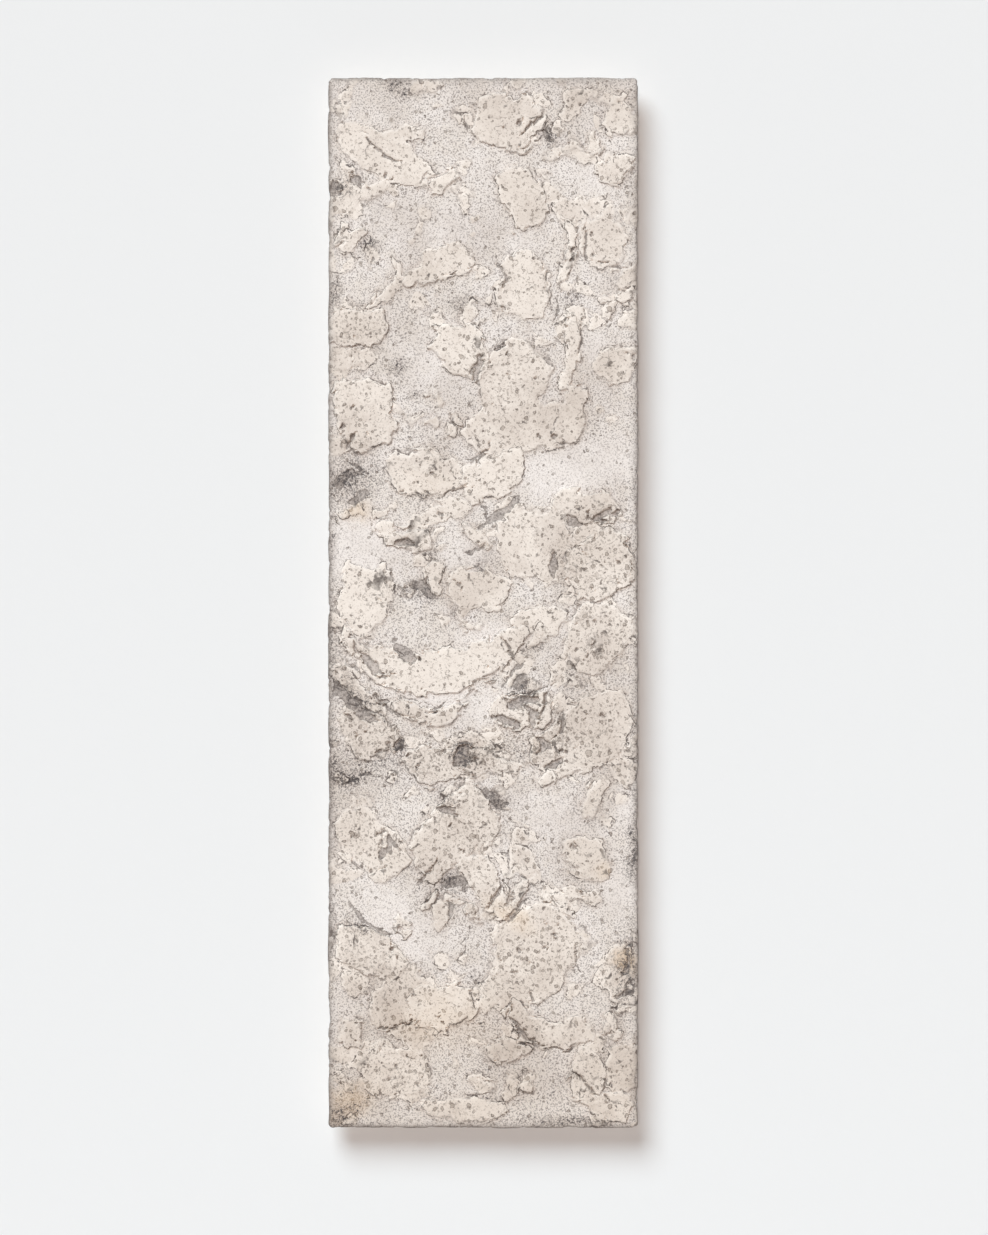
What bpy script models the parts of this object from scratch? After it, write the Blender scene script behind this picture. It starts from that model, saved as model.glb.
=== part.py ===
"""A tall, narrow ceramic wall panel: one fired slab whose front is a broken, flaked skin over a sandy body.

The panel hangs upright. Its flat back lies in the plane y = 0 and faces +Y, its front faces -Y, +Z is up,
and the origin is the middle of the back. Lengths are in metres.
"""

from collections import namedtuple
from math import cos, pi, radians, sin

import bmesh
import bpy
import numpy as np

# The slab
PANEL_HEIGHT = 1.200
PANEL_WIDTH = 0.355
BODY_THICKNESS = 0.0175

# Its edge, cut by hand: rounded corners, a slow wave, a worn front arris and a small one behind
CORNER_RADIUS = 0.006
EDGE_WAVE = 0.0008
EDGE_HOLD = 8
SIDE_WAVES = (0.31, 0.117, 0.052)
FRONT_ARRIS = 0.0032
ARRIS_WEAR = 0.4
WEAR_WAVES = (0.083, 0.036, 0.021)
BACK_ARRIS = 0.0012
EDGE_STEP = 0.015
CORNER_STEPS = 4

# The flakes of skin that stand proud of the body, in a lower and an upper layer, and the gaps broken into it
UNDER_LEAST = 0.0011
UNDER_MOST = 0.0016
OVER_LEAST = 0.0018
OVER_MOST = 0.0025
FLAKE_SLOPE = 0.0010
FLAKE_TILT = 0.004
FLAKE_EMBED = 0.0015
FLAKE_RAGGED = 0.15
FLAKE_SQUARE = 0.75
RIM_CLEAR = 0.0040
CORNER_GAP = 0.0012
GAP_DEPTH = 0.0022
GAP_SLOPE = 0.0009
GAP_CORNERS = 7

CLAY = (0.66, 0.62, 0.575, 1.0)
CLAY_ROUGHNESS = 0.8

Shard = namedtuple("Shard", "across up length width turn bend")
Field = namedtuple("Field", "across up wide tall count size seed")

# Across is a share of the width from the middle, up a share of the height from the foot, length, width and
# bend are shares of the panel's width, and turn is in degrees from level.
FLAKES = [
    Shard(-0.322, 0.926, 0.36, 0.13, -25, 0.00),
    Shard(0.077, 0.959, 0.24, 0.18, 0, 0.00),
    Shard(0.437, 0.964, 0.13, 0.10, 90, 0.00),
    Shard(0.440, 0.914, 0.12, 0.09, 50, 0.00),
    Shard(-0.438, 0.888, 0.16, 0.09, 60, 0.08),
    Shard(0.122, 0.883, 0.23, 0.13, -68, 0.00),
    Shard(0.131, 0.801, 0.23, 0.155, 88, 0.00),
    Shard(0.276, 0.836, 0.225, 0.037, 88, 0.03),
    Shard(0.392, 0.840, 0.18, 0.13, -60, 0.00),
    Shard(-0.116, 0.824, 0.19, 0.10, 15, 0.00),
    Shard(-0.290, 0.803, 0.16, 0.05, 62, 0.04),
    Shard(-0.406, 0.764, 0.20, 0.13, 8, 0.00),
    Shard(-0.440, 0.733, 0.13, 0.07, -5, 0.00),
    Shard(-0.071, 0.740, 0.225, 0.15, -38, 0.00),
    Shard(0.093, 0.714, 0.25, 0.21, 60, 0.00),
    Shard(0.279, 0.735, 0.24, 0.045, 86, 0.03),
    Shard(0.437, 0.726, 0.14, 0.11, 30, 0.00),
    Shard(-0.380, 0.678, 0.26, 0.19, 100, 0.00),
    Shard(0.109, 0.664, 0.36, 0.17, 12, 0.00),
    Shard(0.285, 0.679, 0.20, 0.10, 72, 0.00),
    Shard(-0.187, 0.622, 0.30, 0.14, -5, 0.00),
    Shard(0.028, 0.620, 0.21, 0.13, 20, 0.00),
    Shard(-0.116, 0.588, 0.18, 0.06, 10, 0.00),
    Shard(0.334, 0.591, 0.22, 0.11, -10, 0.00),
    Shard(0.160, 0.555, 0.27, 0.22, 0, 0.00),
    Shard(0.385, 0.536, 0.24, 0.20, 30, 0.00),
    Shard(-0.386, 0.505, 0.22, 0.18, 80, 0.00),
    Shard(-0.158, 0.528, 0.12, 0.06, 85, 0.00),
    Shard(-0.023, 0.511, 0.20, 0.13, -10, 0.00),
    Shard(-0.155, 0.441, 0.54, 0.15, 4, 0.12),
    Shard(-0.400, 0.417, 0.24, 0.06, -42, 0.00),
    Shard(-0.380, 0.379, 0.20, 0.14, -35, 0.00),
    Shard(0.366, 0.466, 0.24, 0.19, 60, 0.00),
    Shard(0.134, 0.398, 0.22, 0.12, 10, 0.00),
    Shard(0.320, 0.372, 0.36, 0.21, 30, 0.00),
    Shard(-0.107, 0.348, 0.30, 0.13, 5, 0.00),
    Shard(-0.370, 0.273, 0.26, 0.19, -55, 0.00),
    Shard(-0.100, 0.283, 0.36, 0.19, 48, 0.00),
    Shard(0.330, 0.258, 0.17, 0.12, -20, 0.00),
    Shard(0.009, 0.233, 0.20, 0.11, -62, 0.00),
    Shard(0.163, 0.168, 0.32, 0.28, 70, 0.00),
    Shard(-0.365, 0.167, 0.24, 0.15, -22, 0.00),
    Shard(-0.270, 0.120, 0.24, 0.18, 62, 0.00),
    Shard(0.210, 0.095, 0.28, 0.10, -12, 0.05),
    Shard(0.437, 0.150, 0.20, 0.09, 80, 0.00),
    Shard(0.340, 0.050, 0.17, 0.11, 75, 0.00),
    Shard(-0.287, 0.055, 0.24, 0.19, 10, 0.00),
    Shard(0.077, 0.073, 0.14, 0.07, 0, 0.00),
    Shard(-0.052, 0.018, 0.27, 0.08, 0, 0.00),
    Shard(0.414, 0.020, 0.16, 0.09, 5, 0.00),
    Shard(-0.357, 0.894, 0.15, 0.05, 25, 0.03),
    Shard(-0.203, 0.811, 0.12, 0.06, 20, 0.00),
    Shard(0.453, 0.811, 0.09, 0.05, 35, 0.00),
    Shard(-0.130, 0.116, 0.23, 0.14, 5, 0.00),
    Shard(0.440, 0.057, 0.17, 0.10, 82, 0.00),
    Shard(0.090, 0.216, 0.18, 0.035, 50, 0.02),
    Shard(-0.250, 0.945, 0.13, 0.05, 8, 0.00),
    Shard(-0.130, 0.902, 0.09, 0.06, 40, 0.00),
    Shard(0.320, 0.925, 0.11, 0.05, -30, 0.03),
    Shard(-0.240, 0.560, 0.16, 0.08, 5, 0.00),
    Shard(0.180, 0.481, 0.18, 0.09, 15, 0.00),
    Shard(-0.030, 0.565, 0.12, 0.05, -60, 0.00),
    Shard(0.350, 0.315, 0.15, 0.06, 70, 0.00),
    Shard(-0.420, 0.090, 0.11, 0.08, 80, 0.00),
    Shard(0.020, 0.130, 0.13, 0.06, 75, 0.00),
    Shard(-0.180, 0.395, 0.22, 0.06, -4, 0.05),
]
CRUMB_FIELDS = [
    Field(0.30, 0.93, 0.20, 0.035, 5, 0.06, 11),
    Field(-0.42, 0.845, 0.12, 0.030, 4, 0.06, 12),
    Field(0.42, 0.780, 0.10, 0.025, 4, 0.05, 13),
    Field(-0.16, 0.680, 0.22, 0.040, 5, 0.04, 14),
    Field(-0.38, 0.575, 0.18, 0.030, 6, 0.05, 15),
    Field(0.06, 0.470, 0.24, 0.025, 5, 0.05, 16),
    Field(0.12, 0.345, 0.22, 0.040, 6, 0.06, 17),
    Field(0.34, 0.215, 0.26, 0.045, 6, 0.06, 18),
    Field(-0.15, 0.205, 0.26, 0.030, 6, 0.06, 19),
    Field(0.42, 0.100, 0.12, 0.040, 5, 0.06, 20),
    Field(0.05, 0.040, 0.20, 0.020, 4, 0.06, 21),
]
GAPS = [
    Shard(0.122, 0.424, 0.085, 0.030, 50, 0.00),
    Shard(0.125, 0.405, 0.095, 0.032, 15, 0.00),
    Shard(0.150, 0.389, 0.060, 0.026, -65, 0.00),
    Shard(0.070, 0.389, 0.090, 0.032, -25, 0.00),
    Shard(0.202, 0.367, 0.065, 0.026, -30, 0.00),
    Shard(0.060, 0.585, 0.165, 0.030, 42, 0.02),
    Shard(0.300, 0.580, 0.070, 0.034, -35, 0.00),
    Shard(0.395, 0.582, 0.085, 0.026, 35, 0.00),
    Shard(-0.014, 0.720, 0.095, 0.026, 62, 0.00),
    Shard(-0.252, 0.455, 0.090, 0.042, -35, 0.00),
    Shard(-0.425, 0.405, 0.190, 0.045, -42, 0.00),
    Shard(-0.280, 0.368, 0.045, 0.040, 0, 0.00),
    Shard(-0.065, 0.354, 0.075, 0.048, 20, 0.00),
    Shard(-0.425, 0.622, 0.120, 0.028, 15, 0.00),
    Shard(-0.405, 0.598, 0.085, 0.032, 18, 0.00),
    Shard(-0.255, 0.560, 0.075, 0.028, 10, 0.00),
    Shard(-0.200, 0.515, 0.070, 0.034, -30, 0.00),
    Shard(0.045, 0.313, 0.110, 0.042, -35, 0.00),
    Shard(-0.100, 0.232, 0.110, 0.042, 15, 0.00),
]


def clear_scene():
    """Removes every object that the scene starts with."""
    for obj in list(bpy.data.objects):
        bpy.data.objects.remove(obj)


def make_clay():
    """The pale fired clay of the slab."""
    clay = bpy.data.materials.new("pale_clay")
    clay.use_nodes = True
    shader = clay.node_tree.nodes["Principled BSDF"]
    shader.inputs["Base Color"].default_value = CLAY
    shader.inputs["Roughness"].default_value = CLAY_ROUGHNESS
    return clay


def rounded_outline(width, height, radius):
    """Points and outward normals round a rectangle with round corners, anticlockwise as seen from the front."""
    points = []
    normals = []
    centres = [(1, 1, 0.0), (-1, 1, 90.0), (-1, -1, 180.0), (1, -1, 270.0)]
    for number, (side_x, side_z, start) in enumerate(centres):
        centre = np.array([side_x * (width / 2 - radius), side_z * (height / 2 - radius)])
        for step in range(CORNER_STEPS + 1):
            angle = radians(start + 90.0 * step / CORNER_STEPS)
            normal = np.array([cos(angle), sin(angle)])
            points.append(centre + radius * normal)
            normals.append(normal)
        run = (height if number % 2 else width) - 2 * radius
        along = np.array([-normals[-1][1], normals[-1][0]])
        steps = max(2, round(run / EDGE_STEP))
        corner = points[-1]
        for step in range(1, steps):
            points.append(corner + along * run * step / steps)
            normals.append(normals[-1])
    return np.array(points), np.array(normals)


def sines(place, lengths):
    """The mean of sines of the given wavelengths, from -1 to 1."""
    return sum(np.sin(2 * pi * place / length + number) for number, length in enumerate(lengths)) / len(lengths)


def squeeze(points):
    """Pulls the edge in by a slow wave.

    The pull is EDGE_WAVE times one less the mean of three sines of the place along that side, and fades
    inwards as the eighth power of the share of the way out.
    """
    half = np.array([PANEL_WIDTH, PANEL_HEIGHT]) / 2
    hold = np.sign(points) * np.abs(points / half) ** EDGE_HOLD
    along = points[:, ::-1] + half[0] * np.sign(points) * np.array([1, 0])
    along += half[1] * np.sign(points) * np.array([0, 1])
    return points - hold * EDGE_WAVE * (1 - sines(along, SIDE_WAVES))


def slab_mesh():
    """The slab as five rings from the back to the front, joined by bands and closed by a flat face each side."""
    points, normals = rounded_outline(PANEL_WIDTH, PANEL_HEIGHT, CORNER_RADIUS)
    count = len(points)
    edge = squeeze(points)
    worn = FRONT_ARRIS * (1 + ARRIS_WEAR * sines(edge.sum(axis=1), WEAR_WAVES))
    rings = [
        (edge - normals * BACK_ARRIS, np.zeros(count)),
        (edge, np.full(count, BACK_ARRIS)),
        (edge, BODY_THICKNESS - worn),
        (edge - normals * worn[:, None] * 0.3, BODY_THICKNESS - worn * 0.3),
        (edge - normals * worn[:, None], np.full(count, BODY_THICKNESS)),
    ]
    shape = bmesh.new()
    loops = []
    for outline, depth in rings:
        loops.append([shape.verts.new((x, -y, z)) for (x, z), y in zip(outline, depth)])
    for behind, before in zip(loops, loops[1:]):
        for here in range(count):
            there = (here + 1) % count
            shape.faces.new((behind[here], behind[there], before[there], before[here]))
    shape.faces.new(loops[0])
    shape.faces.new(loops[-1])
    return close_up(shape, "ceramic_panel")


def close_up(shape, name):
    """Turns every face outwards and makes a mesh of the shape."""
    bmesh.ops.recalc_face_normals(shape, faces=shape.faces)
    mesh = bpy.data.meshes.new(name)
    shape.to_mesh(mesh)
    shape.free()
    return mesh


def shard_outline(shard, corners, seed, inset, clear):
    """A broken, angular outline.

    Corners stand round a squarish oval at uneven angles and distances; the oval is bent along its length,
    turned, and cut off short of the panel's edge.
    """
    chance = np.random.default_rng(seed)
    angles = 2 * pi * (np.arange(corners) + chance.uniform(-0.3, 0.3, corners)) / corners
    reach = 1 + chance.uniform(-FLAKE_RAGGED, FLAKE_RAGGED, corners)
    half_length = shard.length * PANEL_WIDTH / 2
    half_width = shard.width * PANEL_WIDTH / 2
    cosine, sine = np.cos(angles), np.sin(angles)
    along = np.sign(cosine) * np.abs(cosine) ** FLAKE_SQUARE * reach
    aside = np.sign(sine) * np.abs(sine) ** FLAKE_SQUARE * reach
    bent = shard.bend * PANEL_WIDTH * (along**2 - 1 / 3)
    along = along * (half_length - inset)
    aside = aside * (half_width - inset) + bent
    turn = radians(shard.turn)
    x = shard.across * PANEL_WIDTH + along * cos(turn) - aside * sin(turn)
    z = (shard.up - 0.5) * PANEL_HEIGHT + along * sin(turn) + aside * cos(turn)
    limit_x = PANEL_WIDTH / 2 - clear
    limit_z = PANEL_HEIGHT / 2 - clear
    return np.column_stack([np.clip(x, -limit_x, limit_x), np.clip(z, -limit_z, limit_z)])


def spread_apart(low, high):
    """Leaves out the corners that the cut at the panel's edge has pushed together, in both rings alike."""
    keep = []
    for number, point in enumerate(low):
        if all(np.linalg.norm(point - low[other]) > CORNER_GAP for other in keep):
            keep.append(number)
    return low[keep], high[keep]


def add_shard(name, low, low_depth, high, high_depth, group):
    """One closed block between two rings, kept as a helper of the panel's Boolean modifiers."""
    low, high = spread_apart(low, high)
    shape = bmesh.new()
    base = [shape.verts.new((x, -y, z)) for (x, z), y in zip(low, low_depth(low))]
    top = [shape.verts.new((x, -y, z)) for (x, z), y in zip(high, high_depth(high))]
    count = len(base)
    for here in range(count):
        there = (here + 1) % count
        shape.faces.new((base[here], base[there], top[there], top[here]))
    shape.faces.new(base)
    shape.faces.new(top)
    helper = bpy.data.objects.new(name, close_up(shape, name))
    helper.hide_render = True
    helper.display_type = "WIRE"
    group.objects.link(helper)


def level(depth):
    """A ring all at one depth."""
    return lambda ring: np.full(len(ring), depth)


def sloping(depth, lean_x, lean_z, centre):
    """A ring in a plane that leans a little about its centre."""
    return lambda ring: depth + lean_x * (ring[:, 0] - centre[0]) + lean_z * (ring[:, 1] - centre[1])


def add_flake(name, shard, seed, group):
    """A plate of skin: a block with sloping walls, its top at its own height and with its own lean.

    Every other plate lies in the upper layer.
    """
    corners = int(np.clip(round(8 + 14 * shard.length), 8, 13))
    chance = np.random.default_rng(seed + 1000)
    rise = chance.uniform(OVER_LEAST, OVER_MOST) if seed % 2 else chance.uniform(UNDER_LEAST, UNDER_MOST)
    lean_x, lean_z = chance.uniform(-FLAKE_TILT, FLAKE_TILT, 2)
    low = shard_outline(shard, corners, seed, 0.0, RIM_CLEAR)
    high = shard_outline(shard, corners, seed, FLAKE_SLOPE, RIM_CLEAR + FLAKE_SLOPE)
    top = sloping(BODY_THICKNESS + rise, lean_x, lean_z, high.mean(axis=0))
    add_shard(name, low, level(BODY_THICKNESS - FLAKE_EMBED), high, top, group)


def crumbs():
    """Small flakes scattered in their fields: each field's own chance gives their places, sizes and turns."""
    for field in CRUMB_FIELDS:
        chance = np.random.default_rng(field.seed)
        for _ in range(field.count):
            across = field.across + field.wide * chance.uniform(-0.5, 0.5)
            up = field.up + field.tall * chance.uniform(-0.5, 0.5)
            length = field.size * chance.uniform(0.7, 1.5)
            yield Shard(across, up, length, length * chance.uniform(0.4, 0.8), chance.uniform(0, 180), 0.0)


def add_gap(name, shard, seed, group):
    """A hollow broken into the skin: a block with walls that close in towards its floor."""
    low = shard_outline(shard, GAP_CORNERS, seed, GAP_SLOPE, RIM_CLEAR + 2 * GAP_SLOPE)
    high = shard_outline(shard, GAP_CORNERS, seed, -GAP_SLOPE, RIM_CLEAR)
    floor = level(BODY_THICKNESS - GAP_DEPTH)
    add_shard(name, low, floor, high, level(BODY_THICKNESS + 2 * OVER_MOST), group)


def new_group(name):
    """A collection for the helpers of one modifier."""
    group = bpy.data.collections.new(name)
    bpy.context.scene.collection.children.link(group)
    return group


def carve(panel, group, operation):
    """Joins or cuts all of a group's helpers with one Boolean."""
    carving = panel.modifiers.new(group.name, "BOOLEAN")
    carving.operation = operation
    carving.operand_type = "COLLECTION"
    carving.collection = group
    carving.solver = "EXACT"


def build_panel():
    """The slab, its flakes and crumbs joined to it, and the gaps cut out of it."""
    panel = bpy.data.objects.new("ceramic_panel", slab_mesh())
    panel.data.materials.append(make_clay())
    bpy.context.scene.collection.objects.link(panel)
    flakes = new_group("flakes")
    for number, shard in enumerate(FLAKES + list(crumbs())):
        add_flake(f"flake_{number:03d}", shard, number, flakes)
    gaps = new_group("gaps")
    for number, shard in enumerate(GAPS):
        add_gap(f"gap_{number:02d}", shard, number, gaps)
    carve(panel, flakes, "UNION")
    carve(panel, gaps, "DIFFERENCE")


clear_scene()
build_panel()
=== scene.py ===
"""The looks of a tall ceramic wall panel: a fired slab with a broken, flaked skin over a sandy body."""

from collections import namedtuple
from math import atan, cos, hypot, pi, radians, sin

import bpy
import numpy as np
from bpy.props import FloatProperty, FloatVectorProperty, IntProperty, PointerProperty
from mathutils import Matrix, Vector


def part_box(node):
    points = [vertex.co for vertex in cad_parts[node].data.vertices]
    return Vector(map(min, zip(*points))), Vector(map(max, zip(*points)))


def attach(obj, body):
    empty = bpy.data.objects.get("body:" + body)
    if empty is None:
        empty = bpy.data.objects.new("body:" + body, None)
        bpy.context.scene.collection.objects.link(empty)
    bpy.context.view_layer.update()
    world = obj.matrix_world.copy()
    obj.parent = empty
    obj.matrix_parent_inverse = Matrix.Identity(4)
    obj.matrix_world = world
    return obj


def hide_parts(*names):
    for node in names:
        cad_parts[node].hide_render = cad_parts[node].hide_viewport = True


bl_info = {
    "name": "Ceramic wall panel",
    "version": (1, 0, 0),
    "blender": (4, 5, 0),
    "location": "View3D > Sidebar > Ceramic panel",
    "description": "Models a flaked ceramic wall panel and the wall that it hangs on",
    "category": "Object",
}

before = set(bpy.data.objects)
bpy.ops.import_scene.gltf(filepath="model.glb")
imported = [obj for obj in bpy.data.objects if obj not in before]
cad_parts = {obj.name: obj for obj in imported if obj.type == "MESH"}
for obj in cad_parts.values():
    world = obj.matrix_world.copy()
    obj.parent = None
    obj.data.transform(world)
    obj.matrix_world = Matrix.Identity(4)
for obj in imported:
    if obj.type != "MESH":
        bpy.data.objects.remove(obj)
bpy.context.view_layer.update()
LOW, HIGH = (np.array(corner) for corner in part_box("ceramic_panel"))
MM = 0.001

# The edge, cut by hand, as the solid has it
EDGE_WAVE = 0.0008
EDGE_HOLD = 8
SIDE_WAVES = (0.31, 0.117, 0.052)
WEAR_WAVES = (0.083, 0.036, 0.021)
ARRIS_WEAR = 0.4
BACK_ARRIS = 0.0012

# The flakes and gaps, as the solid has them
FLAKE_RAGGED = 0.15
FLAKE_SQUARE = 0.75
RIM_CLEAR = 0.0040
UNDER_RISE = (0.0011, 0.0016)
OVER_RISE = (0.0018, 0.0025)
FLAKE_TILT = 0.004
GAP_DEPTH = 0.0022
GAP_CORNERS = 7
GAP_GROWTH = 0.0004
LEAST_CORNERS = 8
MOST_CORNERS = 13
CORNERS_BY_LENGTH = 14
CORNER_SHIFT = 0.3
RISE_SEED = 1000

# What the scene adds to the solid's front. Clouds are given by their size in metres and their seed.
LATTICE = 256
CLOUD_GAIN = 1.6
FAR = 0.012
# Pushes that fray the outlines: reach, size, and the seeds across and up
WARPS = ((0.0032, 0.024, 5, 7), (0.0014, 0.008, 6, 8))
# Cells that shift as a whole, which breaks the outlines: spacing and reach
BREAKS = ((0.021, 0.0085), (0.009, 0.0034))
BREAK_SEED = 4
CRUMBLE = 0.0016
CRUMBLE_CLOUDS = (0.013, 3)
CRUMBLE_BARE = 0.1
# Each cloud's height, size and seed
SWELLS = ((0.00030, 0.085, 31), (0.00015, 0.030, 32))
SANDS = ((0.00010, 0.007, 33), (0.00008, 0.0035, 34))
SAND_ON_SKIN = 0.5
SKIN_BORDER = 0.002
# Scraps, tears and bites stand about strewn points, given by their spacing and seed. The shares say how
# common they are everywhere, and how much more or less so in the pitted, clouded and pale places.
SCRAPS = ((0.031, 24), (0.015, 25))
SCRAP_CLOUDS = (0.060, 25)
SCRAP_SHARES = {"all": 0.13, "pitted": 0.32, "clouded": 0.22, "pale": 0.34}
SCRAP_SQUASH = 1.1
SCRAP_GAP = 0.0006
SCRAP_RISE = 0.0005
SCRAP_LEAST = 0.6
SCRAP_SPREAD = 0.8
TEARS = ((0.047, 60), (0.019, 61))
TEAR_SHARE = 0.42
PLATE_RISE = 0.0005
PLATE_STEP = 0.0008
CREVICE_CLOUDS = (0.032, 26)
CREVICE_WIDTH = 0.0046
CREVICE_CLOSED = 0.0014
CREVICE_LIMITS = (-0.003, 0.0045)
CREVICE_LIPS = (-0.0006, 0.0008)
CREVICE_DEPTH = 0.0007
SLIT_CORNERS = 6
BITES = (0.015, 23)
BITE_SQUASH = 0.8
BITE_LEAST = 0.0008
BITE_GROWTH = 0.0026
BITE_SHARES = {"all": 0.10, "pitted": 0.42}
BITE_INSIDE = 0.0015
GAP_SHOWN = 0.45
GAP_ROUGH = 0.0005
GAP_CLOUDS = (0.009, 37)

# How the front meets the sides, and how rough those are
ARRIS_FULL = 0.999
RELIEF_FROM = 0.0005
RELIEF_BLEND = 0.0008
CHIP_DEPTH = 0.0011
CHIP_CLOUDS = (0.011, 41)
CHIP_SHARES = (0.10, 0.55)
CHIP_REACH = (0.007, 0.001)
SIDE_ROUGH = 0.0004
SIDE_CLOUDS = (0.009, 51)
SIDE_STRETCH = 1.7
SIDE_RAISED = 0.7
SIDE_FULL = 0.93
LEAST_RINGS = 3
SHARP_ANGLE = radians(38)

# Noises of the clay: size in millimetres, detail, roughness, and a shift that sets each apart
NOISES = {
    "grain": (1.9, 2.0, 0.75, 0.0),
    "grit": (2.0, 1.0, 0.7, 200.0),
    "lumps": (3.4, 2.0, 0.6, 33.0),
    "mottle": (8.0, 3.0, 0.6, 300.0),
    "cloud": (28.0, 3.0, 0.6, 400.0),
    "drift": (95.0, 2.0, 0.5, 500.0),
    "fray": (3.1, 2.0, 0.6, 90.0),
    "melt": (24.0, 2.0, 0.5, 700.0),
    "holes": (3.8, 2.0, 0.6, 60.0),
    "pits": (2.7, 1.0, 0.5, 130.0),
    "curls": (9.0, 1.0, 0.5, 170.0),
    "curl_ends": (7.0, 1.0, 0.5, 190.0),
    "breaks": (15.0, 2.0, 0.5, 600.0),
    "veins": (11.0, 4.0, 0.70, 800.0),
}
# Pocks in the skin: how much rarer they are, spacing and reach in millimetres, shift and strength
POCKS = ((0.0, 5.6, 1.5, 60.0, 0.78), (0.0, 9.5, 2.6, 130.0, 0.88), (0.12, 19.0, 4.2, 240.0, 0.74))
SCABS = (0.60, 40.0, 3.4, 350.0, 0.50)
# Pushes of the clay's patterns: size and reach. The dots that bite the outlines: spacing and shift.
POCK_WARP = (6.0, 5.0)
BITE_WARP = (5.0, 3.0)
BITE_DOTS = (5.2, 900.0)
# Coats of colour: how strongly each shows and, for most, the values between which it comes in
COATS = {
    "white sand": (0.75, 0.34, 0.66),
    "white grit": (0.30, 0.54, 0.66),
    # The next coat is painted shade on the body just outside the raised flakes.
    "flake_shade": (0.42, 0.0, 0.8),
    "bleach": (0.58,),
    "tan skin": (1.0, 0.52, 1.00),
    "light border": (0.60, 4.0, 1.6),
    "speckles": (0.22, 0.50, 0.70),
    "holes": (0.32, 0.62, 0.67),
    "pits": (0.42, 0.67, 0.73),
    "curls": (0.55,),
    "pock floor": (0.62,),
    "pock ring": (0.85,),
    "warmth": (0.40, 0.10, 0.85),
    "tears": (0.82,),
    # The next coats darken the cracks and gaps: painted shade and dirt.
    "dirt_and_shade_tone": (0.62, 0.47, 0.56),
    "lines": (0.92,),
    "bloom": (0.34, 0.10, 0.90),
    "veins": (0.85,),
    "soot": (0.78, 0.0, 0.16),
    "ground": (0.55,),
    "ground specks": (0.70, 0.0, 0.16),
    "drift": (0.35, 0.42, 0.66),
    "wide rim": (0.40, -3.0, 13.0),
    "back patches": (1.0, 0.35, 0.75),
    "back grain": (0.35, 0.58, 0.72),
}
PEPPER = 0.80
# How dark the opened crevices beside the flakes are painted: painted shade and dirt in them.
CREVICE_DIRT_AND_SHADE = 0.8
GAP_LINES = 0.6
# Masks that are worked out before they meet a coat: the value at which each is nothing and the one at which
# it is full. Those of lines, edges and places are in millimetres.
MASKS = {
    # The first of these masks sets where the painted shade just outside the flakes falls.
    "flake_shade": (-8.0, -0.4), "bleached": (0.12, 0.70), "peppered": (0.49, 0.62),
    "inner skin": (0.6, 3.0), "pored": (0.10, 0.80), "curl": (0.026, 0.008),
    "curl ends": (0.60, 0.65), "pocked": (0.8, 2.6), "pock floor": (-0.1, 0.4),
    # The crevice and line masks set where the cracks are darkened with painted shade and dirt.
    "pock ring": (0.52, 0.12), "broken line": (0.36, 0.60), "crevice": (-0.35, 0.45),
    "line": (0.72, 0.18), "not under": (0.25, -0.25), "on skin": (0.2, 1.4),
    "tear": (0.70, 0.15), "gap": (-0.3, 0.5), "gap line": (0.8, 0.15),
    "vein": (0.0, 0.022), "vein grains": (0.52, 0.72), "close rim": (-1.5, 4.5),
    # The mask from left to right lets the rim be painted lighter on the right side, where its arris falls in
    # shade.
    "rim specks": (4.9, 6.5), "lit_side": (170.0, -170.0), "melted": (0.50, 0.60),
    "crisp skin": (-0.3, 0.3), "worn skin": (-1.4, 2.2), "ground": (-300.0, -620.0),
    "back": (-5.0, -1.6),
}
CLAY_BUMP = 0.55
PAINT_BUMP = 0.05
SKIN_ROUGHNESS = 0.60
SAND_ROUGHNESS = 0.86
CLAY_SPECULAR = 0.35
PAINT_GRAIN = (3.0, 3.0)
WALL_ROUGHNESS = 0.9
FLOOR_ROUGHNESS = 0.8

# The stage, in metres, and the photo's frame and the panel's sides in it, in pixels
WALL_REACH = 4.0
FLOOR_REACH = 2.5
FILL_SLOPE = (-0.02, 0.04)
FILL_SPREAD = radians(8)
BEHIND_SPREAD = radians(60)
WHITE = (1.0, 1.0, 1.0)
PHOTO = (988, 1235)
PANEL_PIXELS = (327.7, 77.0, 638.7, 1128.7)

Shard = namedtuple("Shard", "across up length width turn bend", defaults=(0.0,))
Field = namedtuple("Field", "across up wide tall count size seed")
Patch = namedtuple("Patch", "across up length width turn amount")

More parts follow.
